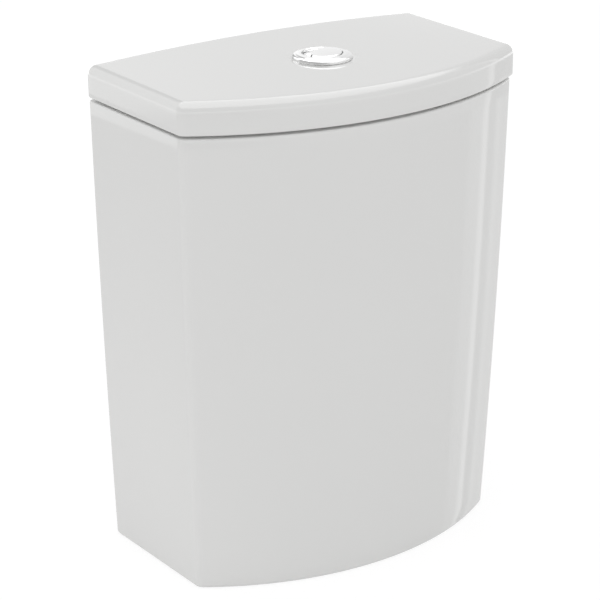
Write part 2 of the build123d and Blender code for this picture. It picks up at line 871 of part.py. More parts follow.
# Cage head: guide plate, rim over the cage and three walls that carry the rocker pins
head_rim_radius = cage_radius + head_rim_width
head_top = cage_top + head_plate
clip_radius = tube_radius + clip_wall
tube_top = head_top + tube_stand
channel_width = rocker_width + 2 * rest_gap
bridge_half_width = rocker_lane + channel_width / 2 + bridge_wall
bridge_top = pivot_height + bridge_rise
arch_radius = clip_radius + arch_clearance
arch_height = tube_top + full_lift + half_lift + arch_clearance
pin_length = bridge_half_width + rocker_lane - channel_width / 2
pin_sides = ((-1, -pivot_offset), (1, pivot_offset))

with BuildPart() as cage_head:
    with BuildSketch(valve_plan.offset(cage_top)):
        Circle(head_rim_radius)
    extrude(amount=head_plate)
    with BuildSketch(valve_plan.offset(cage_top - head_rim_depth)):
        Circle(head_rim_radius)
        Circle(cage_radius + thread_gap, mode=Mode.SUBTRACT)
    extrude(amount=head_rim_depth)
    with BuildSketch(valve_plan.offset(head_top)):
        Rectangle(2 * bridge_half_length, 2 * bridge_half_width)
        with Locations((0, rocker_lane), (0, -rocker_lane)):
            Rectangle(2 * bridge_half_length, channel_width, mode=Mode.SUBTRACT)
    extrude(amount=bridge_top - head_top)
    with BuildSketch(valve_plan.offset(head_top)):
        Circle(arch_radius)
    extrude(amount=arch_height - head_top, mode=Mode.SUBTRACT)
    with BuildSketch(valve_plan.offset(cage_top - overrun)):
        Circle(tube_radius + rest_gap)
        with Locations((-lift_bar_inner - lift_bar_thickness / 2, rocker_lane)):
            Rectangle(lift_bar_thickness + 2 * lift_slot_gap, rocker_width + 2 * lift_slot_gap)
    extrude(amount=head_plate + 2 * overrun, mode=Mode.SUBTRACT)
    for side, pivot in pin_sides:
        with BuildSketch(lane_plane.offset(side * bridge_half_width)):
            with Locations((pivot, pivot_height)):
                Circle(pin_radius + pin_gap)
        extrude(amount=-side * pin_length, mode=Mode.SUBTRACT)
cage_head.part.label = "cage_head"
export_step(cage_head.part, "parts/cage_head.step")

with BuildPart() as rocker_pins:
    for side, pivot in pin_sides:
        with BuildSketch(lane_plane.offset(side * bridge_half_width)):
            with Locations((pivot, pivot_height)):
                Circle(pin_radius)
        extrude(amount=-side * pin_length)
rocker_pins.part.label = "rocker_pins"
export_step(rocker_pins.part, "parts/rocker_pins.step")

# Lifter and tube, each with a float that keeps it up until the water has fallen
lifter_radius = tube_radius + rest_gap + lifter_wall
lifter_bottom = spider_top + rest_gap
lifter_top = cage_middle - lifter_drop
full_float_bottom = lifter_bottom + full_float_clearance
half_float_top = cage_top - half_float_drop
half_float_bottom = lifter_top + rest_gap

with BuildPart() as full_lifter:
    with BuildSketch(valve_plan.offset(lifter_bottom)):
        Circle(lifter_radius)
    extrude(amount=lifter_top - lifter_bottom)
    with BuildSketch(full_lane):
        with BuildLine():
            Polyline(
                (0, lifter_top - lifter_arm),
                (-lift_bar_outer, lifter_top - lifter_arm),
                (-lift_bar_outer, tab_top),
                (-tab_inner, tab_top),
                (-tab_inner, tab_bottom),
                (-lift_bar_inner, tab_bottom),
                (-lift_bar_inner, lifter_top),
                (0, lifter_top),
                close=True,
            )
        make_face()
    extrude(amount=rocker_width)
    with BuildSketch(valve_plan.offset(lifter_bottom)):
        Circle(tube_radius + rest_gap)
    extrude(amount=lifter_top - lifter_bottom, mode=Mode.SUBTRACT)
full_lifter.part.label = "full_lifter"
export_step(full_lifter.part, "parts/full_lifter.step")

with BuildPart() as overflow_tube:
    with BuildSketch(valve_plan.offset(tube_bottom)):
        Circle(tube_radius)
        Circle(tube_bore, mode=Mode.SUBTRACT)
    extrude(amount=tube_top - tube_bottom)
overflow_tube.part.label = "overflow_tube"
export_step(overflow_tube.part, "parts/overflow_tube.step")

clip_bottom = head_top + rest_gap
with BuildPart() as tube_lift_bar:
    with BuildSketch(valve_plan.offset(clip_bottom)):
        Circle(clip_radius)
    extrude(amount=tube_top - clip_bottom)
    with BuildSketch(half_lane):
        with BuildLine():
            Polyline(
                (0, clip_bottom),
                (lift_bar_outer, clip_bottom),
                (lift_bar_outer, tab_top),
                (tab_inner, tab_top),
                (tab_inner, tab_bottom),
                (lift_bar_inner, tab_bottom),
                (lift_bar_inner, tube_top),
                (0, tube_top),
                close=True,
            )
        make_face()
    extrude(amount=rocker_width)
    with BuildSketch(valve_plan.offset(clip_bottom)):
        Circle(tube_radius + pin_gap)
    extrude(amount=tube_top - clip_bottom, mode=Mode.SUBTRACT)
tube_lift_bar.part.label = "tube_lift_bar"
export_step(tube_lift_bar.part, "parts/tube_lift_bar.step")


def float_solid(bore, bottom, top):
    """A float as an inverted ring-shaped cup that traps air, from bottom to top."""
    with BuildPart() as cup:
        with BuildSketch(valve_section):
            with BuildLine():
                Polyline(
                    (bore, bottom),
                    (bore + float_wall, bottom),
                    (bore + float_wall, top - float_wall),
                    (float_radius - float_wall, top - float_wall),
                    (float_radius - float_wall, bottom),
                    (float_radius, bottom),
                    (float_radius, top),
                    (bore, top),
                    close=True,
                )
            make_face()
        revolve(axis=valve_axis)
    return cup


full_float = float_solid(lifter_radius + pin_gap, full_float_bottom, lifter_top - lifter_arm)
full_float.part.label = "full_float"
export_step(full_float.part, "parts/full_float.step")

half_float = float_solid(tube_radius + pin_gap, half_float_bottom, half_float_top)
half_float.part.label = "half_float"
export_step(half_float.part, "parts/half_float.step")

# Fixings through the tank's floor: two studs with a nut, washers and a rubber cone each
rubber_radius = stud_radius + rubber_width
rubber_neck_radius = stud_radius + rubber_neck_width
steel_washer_radius = stud_radius + steel_washer_width
bolt_places = ((-bolt_spacing / 2, valve_y), (bolt_spacing / 2, valve_y))
head_bottom = floor_top + rubber_thickness
steel_washer_bottom = recess_depth - steel_washer
locknut_bottom = steel_washer_bottom - locknut_thickness
stud_neck_radius = stud_radius - stud_thread_depth

with BuildPart() as coupling_bolts:
    with BuildSketch(Plane.XY.offset(stud_clearance)):
        with Locations(*bolt_places):
            Circle(stud_radius)
    extrude(amount=locknut_bottom - stud_clearance)
    with BuildSketch(Plane.XY.offset(locknut_bottom)):
        with Locations(*bolt_places):
            Circle(stud_neck_radius)
    extrude(amount=head_bottom - locknut_bottom)
    with BuildSketch(Plane.XY.offset(head_bottom)):
        with Locations(*bolt_places):
            RegularPolygon(stud_head_radius, 6)
    extrude(amount=stud_head)
coupling_bolts.part.label = "coupling_bolts"
export_step(coupling_bolts.part, "parts/coupling_bolts.step")

with BuildPart() as bolt_rubber_washers:
    for x, y in bolt_places:
        with BuildSketch(Plane(origin=(x, y, 0), x_dir=(1, 0, 0), z_dir=(0, -1, 0))):
            with BuildLine():
                Polyline(
                    (stud_neck_radius + thread_gap, floor_top),
                    (rubber_radius, floor_top),
                    (rubber_radius, floor_top + rubber_lip),
                    (rubber_neck_radius, head_bottom),
                    (stud_neck_radius + thread_gap, head_bottom),
                    close=True,
                )
            make_face()
        revolve(axis=Axis((x, y, 0), (0, 0, 1)))
bolt_rubber_washers.part.label = "bolt_rubber_washers"
export_step(bolt_rubber_washers.part, "parts/bolt_rubber_washers.step")

with BuildPart() as bolt_steel_washers:
    with BuildSketch(Plane.XY.offset(steel_washer_bottom)):
        with Locations(*bolt_places):
            Circle(steel_washer_radius)
            Circle(stud_radius + rest_gap, mode=Mode.SUBTRACT)
    extrude(amount=steel_washer)
bolt_steel_washers.part.label = "bolt_steel_washers"
export_step(bolt_steel_washers.part, "parts/bolt_steel_washers.step")

with BuildPart() as bolt_locknuts:
    with BuildSketch(Plane.XY.offset(locknut_bottom)):
        with Locations(*bolt_places):
            RegularPolygon(locknut_half_flats, 6, major_radius=False)
            Circle(stud_neck_radius + thread_gap, mode=Mode.SUBTRACT)
    extrude(amount=locknut_thickness)
bolt_locknuts.part.label = "bolt_locknuts"
export_step(bolt_locknuts.part, "parts/bolt_locknuts.step")

# Fill valve: shank through the floor, riser, head with a lever, and a float beside it
fill_x = -inlet_offset
fill_origin = (fill_x, valve_y, 0)
fill_section = Plane(origin=fill_origin, x_dir=(1, 0, 0), z_dir=(0, -1, 0))
fill_plan = Plane(origin=fill_origin, x_dir=(1, 0, 0), z_dir=(0, 0, 1))
fill_axis = Axis(fill_origin, (0, 0, 1))
shank_flange_radius = shank_radius + shank_flange_width
shank_nut_half_flats = shank_radius + shank_nut_width
shank_nut_bottom = recess_depth - shank_nut_height
shank_neck_radius = shank_radius - shank_thread_depth
lower_riser_radius = shank_bore + lower_riser_wall
shank_flange_bottom = floor_top + shank_seal_thickness
shank_flange_top = shank_flange_bottom + shank_flange

with BuildPart() as inlet_shank:
    with BuildSketch(fill_section):
        with BuildLine():
            Polyline(
                (shank_bore, shank_clearance),
                (shank_radius, shank_clearance),
                (shank_radius, shank_nut_bottom),
                (shank_neck_radius, shank_nut_bottom),
                (shank_neck_radius, shank_flange_bottom),
                (shank_flange_radius, shank_flange_bottom),
                (shank_flange_radius, shank_flange_top),
                (lower_riser_radius, shank_flange_top),
                (lower_riser_radius, lower_riser_top),
                (shank_bore, lower_riser_top),
                close=True,
            )
        make_face()
    revolve(axis=fill_axis)
inlet_shank.part.label = "inlet_shank"
export_step(inlet_shank.part, "parts/inlet_shank.step")

with BuildPart() as inlet_filter:
    with BuildSketch(fill_plan.offset(shank_clearance)):
        Circle(shank_bore - pin_gap)
    extrude(amount=filter_length)
    with BuildSketch(fill_plan.offset(shank_clearance)):
        Circle(shank_bore - pin_gap - filter_wall)
    extrude(amount=filter_length - filter_wall, mode=Mode.SUBTRACT)
    for row in range(filter_rows):
        slot_height = shank_clearance + filter_slot_rise + row * filter_row_pitch
        with Locations(fill_plan.offset(slot_height).location):
            with PolarLocations(0, 3, angular_range=180):
                Box(2 * shank_bore, filter_slot_width, filter_slot_height, mode=Mode.SUBTRACT)
inlet_filter.part.label = "inlet_filter"
export_step(inlet_filter.part, "parts/inlet_filter.step")

with BuildPart() as shank_seal_washer:
    with BuildSketch(fill_plan.offset(floor_top)):
        Circle(shank_flange_radius)
        Circle(shank_radius + rest_gap, mode=Mode.SUBTRACT)
    extrude(amount=shank_seal_thickness)
shank_seal_washer.part.label = "shank_seal_washer"
export_step(shank_seal_washer.part, "parts/shank_seal_washer.step")

with BuildPart() as shank_backnut:
    with BuildSketch(fill_plan.offset(shank_nut_bottom)):
        RegularPolygon(shank_nut_half_flats, 6, major_radius=False)
        Circle(shank_neck_radius + thread_gap, mode=Mode.SUBTRACT)
    extrude(amount=shank_nut_height)
shank_backnut.part.label = "shank_backnut"
export_step(shank_backnut.part, "parts/shank_backnut.step")

# Riser tube slides on the shank and a collar holds it at its height
riser_radius = lower_riser_radius + thread_gap + riser_wall
riser_top = tank_height - riser_drop
collar_outer_radius = riser_radius + riser_collar_width

with BuildPart() as riser_tube:
    with BuildSketch(fill_plan.offset(riser_bottom)):
        Circle(riser_radius)
        Circle(lower_riser_radius + thread_gap, mode=Mode.SUBTRACT)
    extrude(amount=riser_top - riser_bottom)
riser_tube.part.label = "riser_tube"
export_step(riser_tube.part, "parts/riser_tube.step")

with BuildPart() as riser_collar:
    with BuildSketch(fill_section):
        with BuildLine():
            Polyline(
                (lower_riser_radius + thread_gap, riser_bottom - riser_collar_lip),
                (collar_outer_radius, riser_bottom - riser_collar_lip),
                (collar_outer_radius, riser_bottom - riser_collar_lip + riser_collar_height),
                (riser_radius + thread_gap, riser_bottom - riser_collar_lip + riser_collar_height),
                (riser_radius + thread_gap, riser_bottom),
                (lower_riser_radius + thread_gap, riser_bottom),
                close=True,
            )
        make_face()
    revolve(axis=fill_axis)
    with BuildSketch(fill_plan.offset(riser_bottom - riser_collar_lip)):
        with PolarLocations(collar_outer_radius, collar_flutes):
            Circle(collar_flute_radius)
    extrude(amount=riser_collar_height, mode=Mode.SUBTRACT)
riser_collar.part.label = "riser_collar"
export_step(riser_collar.part, "parts/riser_collar.step")

# Valve head on the riser, with a diaphragm under its cap and a spout for the outlet
head_radius = riser_radius + head_width
head_chamber_radius = head_radius - head_chamber_wall
cap_radius = head_radius + cap_width
silencer_radius = spout_bore + silencer_wall
silencer_bottom = floor_top + silencer_clearance
fill_head_top = riser_top + head_height
spout_bottom = riser_top + (head_height - spout_height) / 2

with BuildPart() as valve_head:
    with BuildSketch(fill_plan.offset(riser_top - head_socket)):
        Circle(head_radius)
    extrude(amount=head_height + head_socket)
    with BuildSketch(fill_plan.offset(spout_bottom)):
        with Locations((0, spout_reach / 2)):
            Rectangle(spout_width, spout_reach)
        with Locations((0, spout_reach)):
            Circle(spout_radius)
    extrude(amount=spout_height)
    with BuildSketch(fill_plan.offset(spout_bottom - spout_nozzle)):
        with Locations((0, spout_reach)):
            Circle(spout_bore - pin_gap)
    extrude(amount=spout_nozzle)
    with BuildSketch(fill_plan.offset(riser_top - head_socket)):
        Circle(riser_radius + thread_gap)
    extrude(amount=head_socket, mode=Mode.SUBTRACT)
    with BuildSketch(fill_plan.offset(riser_top)):
        Circle(shank_bore)
    extrude(amount=head_height, mode=Mode.SUBTRACT)
    with BuildSketch(fill_plan.offset(fill_head_top - head_chamber)):
        Circle(head_chamber_radius)
    extrude(amount=head_chamber, mode=Mode.SUBTRACT)
valve_head.part.label = "valve_head"
export_step(valve_head.part, "parts/valve_head.step")

with BuildPart() as diaphragm:
    with BuildSketch(fill_plan.offset(fill_head_top - head_chamber)):
        Circle(head_chamber_radius - rest_gap)
    extrude(amount=diaphragm_thickness)
diaphragm.part.label = "diaphragm"
export_step(diaphragm.part, "parts/diaphragm.step")

with BuildPart() as silencer_tube:
    with BuildSketch(fill_plan.offset(silencer_bottom)):
        with Locations((0, spout_reach)):
            Circle(silencer_radius)
            Circle(spout_bore, mode=Mode.SUBTRACT)
    extrude(amount=spout_bottom - silencer_bottom)
silencer_tube.part.label = "silencer_tube"
export_step(silencer_tube.part, "parts/silencer_tube.step")

# Lever: its pin stands in two ears on the cap, between the pilot seal and the float link
cap_top = fill_head_top + cap_crown
lever_height = cap_top + lever_pivot_rise
ear_inner = lever_width / 2 + rest_gap
lever_end = lever_pivot_x + lever_reach

with BuildPart() as head_cap:
    with BuildSketch(fill_plan.offset(fill_head_top - cap_skirt)):
        Circle(cap_radius)
        Circle(head_radius + thread_gap, mode=Mode.SUBTRACT)
    extrude(amount=cap_skirt)
    with BuildSketch(fill_plan.offset(fill_head_top)):
        Circle(cap_radius)
    extrude(amount=cap_crown)
    with BuildSketch(fill_plan.offset(fill_head_top - cap_skirt)):
        with PolarLocations(cap_radius, cap_flutes):
            Circle(cap_flute_radius)
    extrude(amount=cap_skirt + cap_crown, mode=Mode.SUBTRACT)
    with BuildSketch(fill_plan.offset(cap_top)):
        Circle(pilot_radius + cap_plinth_wall)
    extrude(amount=cap_plinth - rest_gap)
    with BuildSketch(fill_plan.offset(fill_head_top)):
        Circle(pilot_radius)
    extrude(amount=cap_crown + cap_plinth, mode=Mode.SUBTRACT)
    for side in (-1, 1):
        ear_face = side * ear_inner
        with BuildSketch(fill_section.offset(ear_face)):
            with Locations((lever_pivot_x, (cap_top + lever_height) / 2)):
                Rectangle(2 * ear_half_width, lever_height - cap_top)
            with Locations((lever_pivot_x, lever_height)):
                Circle(ear_half_width)
                Circle(lever_pin_radius + pin_gap, mode=Mode.SUBTRACT)
        extrude(amount=side * ear_thickness)
head_cap.part.label = "head_cap"
export_step(head_cap.part, "parts/head_cap.step")

with BuildPart() as arm_pin:
    with BuildSketch(fill_section.offset(-ear_inner - ear_thickness)):
        with Locations((lever_pivot_x, lever_height)):
            Circle(lever_pin_radius)
    extrude(amount=2 * (ear_inner + ear_thickness))
arm_pin.part.label = "arm_pin"
export_step(arm_pin.part, "parts/arm_pin.step")

# The lever hangs down with the float in a dry tank, and lies level when the tank is full.
# It ends in a stub pin, which the slotted eye of the float's link carries.
eye_half_height = lever_pin_radius + eye_gap + eye_wall
lever_sag = asin(float_rise / lever_reach)
stub_slack = lever_reach - lever_reach * cos(lever_sag)
seal_length = lever_height - lever_half_thickness - cap_top - cap_plinth
eye_height = lever_height - float_rise
arm_plane = Plane(
    origin=(fill_x + lever_pivot_x, valve_y, lever_height),
    x_dir=(cos(lever_sag), 0, -sin(lever_sag)),
    z_dir=(0, -1, 0),
)

with BuildPart() as float_arm:
    with BuildSketch(arm_plane.offset(-lever_width / 2)):
        with Locations(((lever_reach - lever_pivot_x) / 2, 0)):
            SlotCenterToCenter(lever_pivot_x + lever_reach, 2 * lever_half_thickness)
        Circle(lever_pin_radius + pin_gap, mode=Mode.SUBTRACT)
    extrude(amount=lever_width)
    with BuildSketch(arm_plane.offset(lever_width / 2)):
        with Locations((lever_reach, 0)):
            Circle(lever_pin_radius)
    extrude(amount=stub_length)
float_arm.part.label = "float_arm"
export_step(float_arm.part, "parts/float_arm.step")

seal_plane = Plane(
    origin=arm_plane.from_local_coords((-lever_pivot_x, -lever_half_thickness, 0)),
    x_dir=arm_plane.x_dir,
    z_dir=-arm_plane.y_dir,
)
with BuildPart() as pilot_seal:
    with BuildSketch(seal_plane):
        Circle(pilot_seal_radius)
    extrude(amount=seal_length)
pilot_seal.part.label = "pilot_seal"
export_step(pilot_seal.part, "parts/pilot_seal.step")

# Float beside the riser: an inverted cup, guided by two rings round the riser tube
cup_top = eye_height - cup_drop
cup_bottom = cup_top - cup_height
boss_radius = link_radius + boss_wall
cup_inner_x = riser_radius + cup_riser_clearance
cup_centre_x = cup_inner_x + cup_length / 2
guide_bore = riser_radius + rest_gap
link_y = -(lever_width / 2 + rest_gap + eye_thickness / 2)

with BuildPart() as float_cup:
    with BuildSketch(fill_plan.offset(cup_bottom)):
        with Locations((cup_centre_x, 0)):
            RectangleRounded(cup_length, cup_width, cup_corner)
    extrude(amount=cup_height)
    fillet(float_cup.faces().sort_by(Axis.Z)[-1].edges(), cup_top_round)
    with BuildSketch(fill_plan.offset(cup_bottom)):
        with Locations((cup_centre_x, 0)):
            RectangleRounded(
                cup_length - 2 * cup_wall, cup_width - 2 * cup_wall, cup_corner - cup_wall
            )
    extrude(amount=cup_height - cup_wall, mode=Mode.SUBTRACT)
    for low in (cup_bottom, cup_top - guide_height):
        with BuildSketch(fill_plan.offset(low)):
            Circle(guide_bore + guide_wall)
            with Locations((cup_inner_x / 2, 0)):
                Rectangle(cup_inner_x, 2 * guide_wall)
            Circle(guide_bore, mode=Mode.SUBTRACT)
        extrude(amount=guide_height)
    with BuildSketch(fill_plan.offset(cup_top - cup_top_round)):
        with Locations((lever_end, link_y)):
            Circle(boss_radius)
    extrude(amount=boss_height + cup_top_round)
    with BuildSketch(fill_plan.offset(cup_top)):
        with Locations((lever_end, link_y)):
            Circle(link_radius + pin_gap)
    extrude(amount=boss_height, mode=Mode.SUBTRACT)
float_cup.part.label = "float_cup"
export_step(float_cup.part, "parts/float_cup.step")

with BuildPart() as float_link:
    with BuildSketch(fill_plan.offset(cup_top)):
        with Locations((lever_end, link_y)):
            Circle(link_radius)
    extrude(amount=eye_height - eye_half_height - cup_top)
    with BuildSketch(fill_section.offset(lever_width / 2 + rest_gap)):
        with Locations((lever_end - stub_slack / 2, eye_height)):
            SlotCenterToCenter(stub_slack + 2 * eye_gap, 2 * eye_half_height)
            SlotCenterToCenter(
                stub_slack + 2 * eye_gap, 2 * (lever_pin_radius + eye_gap), mode=Mode.SUBTRACT
            )
    extrude(amount=eye_thickness)
float_link.part.label = "float_link"
export_step(float_link.part, "parts/float_link.step")

with BuildPart() as adjuster_clip:
    with BuildSketch(fill_plan.offset(cup_top + boss_height)):
        with Locations((lever_end, link_y)):
            Rectangle(2 * clip_half_width, 2 * clip_half_width)
            Circle(link_radius + pin_gap, mode=Mode.SUBTRACT)
    extrude(amount=clip_thickness)
adjuster_clip.part.label = "adjuster_clip"
export_step(adjuster_clip.part, "parts/adjuster_clip.step")
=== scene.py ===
"""Looks of a close-coupled toilet cistern, built round its construction frame.

Sizes are in millimetres, and each mesh is scaled to metres when it is finished. The wall
behind the cistern is at +Y, the bowed front looks along -Y, and Z = 0 is the base rim.
"""
import json
import logging
import math
from dataclasses import dataclass
from enum import Enum
from typing import Callable, Iterable, Sequence

import bmesh
import bpy
from mathutils import Matrix, Vector

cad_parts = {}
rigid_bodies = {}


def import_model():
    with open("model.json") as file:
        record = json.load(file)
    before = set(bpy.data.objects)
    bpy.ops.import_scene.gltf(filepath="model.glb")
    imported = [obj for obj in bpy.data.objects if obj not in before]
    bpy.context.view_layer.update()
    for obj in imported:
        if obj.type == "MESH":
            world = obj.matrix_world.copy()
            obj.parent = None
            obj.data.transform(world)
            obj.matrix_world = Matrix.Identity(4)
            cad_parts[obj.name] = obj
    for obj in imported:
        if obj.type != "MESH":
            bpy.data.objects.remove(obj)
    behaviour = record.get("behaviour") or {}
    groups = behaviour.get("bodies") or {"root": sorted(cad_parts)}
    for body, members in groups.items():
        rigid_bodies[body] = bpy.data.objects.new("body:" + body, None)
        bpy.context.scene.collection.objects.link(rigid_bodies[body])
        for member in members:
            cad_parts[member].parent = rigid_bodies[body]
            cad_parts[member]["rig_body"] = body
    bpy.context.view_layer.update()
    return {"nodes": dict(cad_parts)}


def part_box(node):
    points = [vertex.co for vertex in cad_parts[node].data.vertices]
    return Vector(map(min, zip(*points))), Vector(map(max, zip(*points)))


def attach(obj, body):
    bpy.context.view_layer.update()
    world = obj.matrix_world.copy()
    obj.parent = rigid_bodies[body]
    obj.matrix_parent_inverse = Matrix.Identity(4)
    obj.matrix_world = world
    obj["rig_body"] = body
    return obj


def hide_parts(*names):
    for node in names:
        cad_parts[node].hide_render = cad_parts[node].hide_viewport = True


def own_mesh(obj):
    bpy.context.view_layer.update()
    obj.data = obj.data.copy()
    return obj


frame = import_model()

MM = 0.001
SHARP_ANGLE = math.radians(32)
FLAT_ANGLE = math.radians(0.5)
# Corners nearer than this are joined: in a new mesh, and in a copy of a CAD node's
MERGE_MM = 0.0005
CAD_MERGE_MM = 0.003
# Shared by all finishes: gloss of a coat, reach of light inside, and detail of the patches
COAT_ROUGHNESS = 0.03
SCATTER_MM = 3
PATCH_DETAIL = 2.0
UP = Vector((0, 0, 1))
FLAT = Vector((1, 1, 0))

log = logging.getLogger("cistern")


class Slot(Enum):
    """Material slots of the record."""

    CHINA = "white_china"
    CHROME = "chrome_plate"
    WHITE = "white_abs"
    GREY = "grey_abs"
    BLUE = "blue_plastic"
    GREEN = "green_plastic"
    CLEAR = "clear_white_plastic"
    RUBBER = "black_rubber"
    SILICONE = "red_silicone"
    ZINC = "zinc_steel"
    STEEL = "stainless_steel"


def linear(colour: str) -> tuple[float, float, float, float]:
    """Turns an sRGB colour to linear light.

    Args:
        colour: six hex digits after a hash sign.

    Returns:
        The linear red, green and blue, and a full alpha.
    """
    shares = [int(colour[i:i + 2], 16) / 255 for i in (1, 3, 5)]
    parts = [s / 12.92 if s <= 0.04045 else ((s + 0.055) / 1.055) ** 2.4 for s in shares]
    return (*parts, 1.0)


def add_node(
    tree: bpy.types.NodeTree,
    kind: str,
    values: dict[str | int, object] | None = None,
    links: dict[str | int, bpy.types.NodeSocket] | None = None,
    **settings: object,
) -> bpy.types.Node:
    """Adds a node to a tree with its settings, constants and links.

    Args:
        tree: the node tree.
        kind: the node's type name.
        values: constants by input name or number.
        links: output sockets by the input that they feed.
        settings: attributes of the node itself.

    Returns:
        The new node.
    """
    node = tree.nodes.new(kind)
    for name, setting in settings.items():
        setattr(node, name, setting)
    for name, value in (values or {}).items():
        node.inputs[name].default_value = value
    for name, socket in (links or {}).items():
        tree.links.new(socket, node.inputs[name])
    return node


class Grain(Enum):
    """Kinds of fine relief on a surface."""

    NOISE = "ShaderNodeTexNoise"
    CELLS = "ShaderNodeTexVoronoi"


@dataclass(frozen=True)
class Finish:
    """A real material and how its surface was made.

    Attributes:
        name: the material's own name.
        slot: the record's slot that it belongs to; not used.
        colour: its sRGB hex colour.
        shade: a second sRGB hex colour, that it drifts to in patches.
        roughness: how matt it is, from 0 to 1.
        metallic: 1 for a metal.
        coat: weight of a clear layer over it.
        grain_mm: size of its fine relief.
        relief_mm: height of that relief.
        patch_mm: size of its patches of colour.
        glow: share of light that passes under the surface.
        grain: kind of relief.
    """

    name: str
    slot: Slot
    colour: str
    shade: str
    roughness: float
    metallic: float = 0.0
    coat: float = 0.0
    grain_mm: float = 1.0
    relief_mm: float = 0.01
    patch_mm: float = 60.0
    glow: float = 0.0
    grain: Grain = Grain.NOISE

    def material(self) -> bpy.types.Material:
        """Builds the material once and returns it."""
        known = bpy.data.materials.get(self.name)
        if known:
            return known
        material = bpy.data.materials.new(self.name)
        material.use_nodes = True
        tree = material.node_tree
        shader = tree.nodes["Principled BSDF"]
        place = add_node(tree, "ShaderNodeTexCoord").outputs["Object"]
        patches = add_node(
            tree,
            "ShaderNodeTexNoise",
            {"Scale": 1 / (self.patch_mm * MM), "Detail": PATCH_DETAIL},
            {"Vector": place},
        )
        drift = add_node(
            tree,
            "ShaderNodeMix",
            {6: linear(self.colour), 7: linear(self.shade)},
            {0: patches.outputs[0]},
            data_type="RGBA",
        )
        tree.links.new(drift.outputs[2], shader.inputs["Base Color"])
        relief = add_node(
            tree,
            self.grain.value,
            {"Scale": 1 / (self.grain_mm * MM)},
            {"Vector": place},
        )
        bump = add_node(
            tree,
            "ShaderNodeBump",
            {"Strength": 1.0, "Distance": self.relief_mm * MM},
            {"Height": relief.outputs[0]},
        )
        tree.links.new(bump.outputs[0], shader.inputs["Normal"])
        for name, value in (
            ("Roughness", self.roughness),
            ("Metallic", self.metallic),
            ("Coat Weight", self.coat),
            ("Coat Roughness", COAT_ROUGHNESS),
            ("Subsurface Weight", self.glow),
            ("Subsurface Scale", SCATTER_MM * MM),
        ):
            shader.inputs[name].default_value = value
        return material


# Glazed vitreous china: white, with a wet-looking clear glaze that waves very slightly
GLAZE = Finish("vitreous_china_glaze", Slot.CHINA, "#E3E3E2", "#E1E1E0", 0.07,
               grain_mm=45, relief_mm=0.01, patch_mm=150)
# Bare fired china of the base rim: matt and a little creamy, with a sandy grain
BISCUIT = Finish("bare_fired_china", Slot.CHINA, "#D8D4C9", "#CFCABD", 0.85,
                 grain_mm=0.6, relief_mm=0.05, patch_mm=12)
# Chrome plate on moulded plastic: mirror bright, with a faint softness from wiping
CHROME = Finish("chrome_plate_on_ABS", Slot.CHROME, "#EEEEEE", "#E8E8E8", 0.05, metallic=1.0,
                grain_mm=9, relief_mm=0.0003, patch_mm=9)
# Moulded ABS and acetal: satin with a fine spark-eroded grain
WHITE_ABS = Finish("moulded_white_ABS", Slot.WHITE, "#E6E6E1", "#DEDED8", 0.42,
                   grain_mm=0.5, relief_mm=0.012)
GREY_ABS = Finish("moulded_grey_ABS", Slot.GREY, "#5C6166", "#53585D", 0.45,
                  grain_mm=0.5, relief_mm=0.012)
BLUE_ABS = Finish("moulded_blue_acetal", Slot.BLUE, "#2A5FA8", "#24549A", 0.38,
                  grain_mm=0.5, relief_mm=0.01)
GREEN_ABS = Finish("moulded_green_acetal", Slot.GREEN, "#2F8A63", "#297C58", 0.38,
                   grain_mm=0.5, relief_mm=0.01)
# Natural polypropylene: milky, lets a little light through
MILKY = Finish("natural_polypropylene", Slot.CLEAR, "#DDE1E1", "#D3D8D9", 0.3,
               grain_mm=0.8, relief_mm=0.008, glow=0.35)
# Moulded EPDM rubber: near black, matt, with a dusty bloom
EPDM = Finish("moulded_EPDM_rubber", Slot.RUBBER, "#26262A", "#34343A", 0.72,
              grain_mm=0.7, relief_mm=0.03, patch_mm=15)
# Expanded EPDM foam: closed cells show as small pits on its skin
FOAM = Finish("expanded_EPDM_foam", Slot.RUBBER, "#2B2B2E", "#3A3A3E", 0.92,
              grain_mm=1.6, relief_mm=0.3, patch_mm=10, grain=Grain.CELLS)
# Silicone seal: soft red, a little glossy
SILICONE = Finish("moulded_red_silicone", Slot.SILICONE, "#A8322A", "#982A24", 0.5,
                  grain_mm=0.6, relief_mm=0.01, glow=0.1)
# Zinc-plated steel: pale blue grey with a small spangle
ZINC = Finish("zinc_plated_steel", Slot.ZINC, "#C5C9CC", "#AEB3B8", 0.32, metallic=1.0,
              grain_mm=2.5, relief_mm=0.01, patch_mm=3, grain=Grain.CELLS)
# Drawn stainless wire and pins: bright, faintly streaked
STAINLESS = Finish("drawn_stainless_steel", Slot.STEEL, "#C9C9C6", "#BBBBB8", 0.22,
                   metallic=1.0, grain_mm=0.3, relief_mm=0.004)


def body_of(node: str) -> str:
    """Returns the name of the body that a node of the frame rides on."""
    return frame["nodes"][node]["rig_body"]


def box_mm(node: str) -> tuple[Vector, Vector]:
    """Returns the lowest and highest corner of a node, in millimetres."""
    low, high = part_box(node)
    return low / MM, high / MM


def axis_of(node: str) -> Vector:
    """Returns the middle of a node's footprint, in millimetres, at height 0."""
    low, high = box_mm(node)
    return Vector(((low.x + high.x) / 2, (low.y + high.y) / 2, 0))


def add_object(name: str, data: bpy.types.ID) -> bpy.types.Object:
    """Makes an object of a mesh, lamp or camera, and links it to the scene."""
    item = bpy.data.objects.new(name, data)
    bpy.context.scene.collection.objects.link(item)
    return item


def to_mesh(bm: bmesh.types.BMesh, name: str) -> bpy.types.Mesh:
    """Turns a bmesh to a mesh of a name, and frees it."""
    mesh = bpy.data.meshes.new(name)
    bm.to_mesh(mesh)
    bm.free()
    return mesh


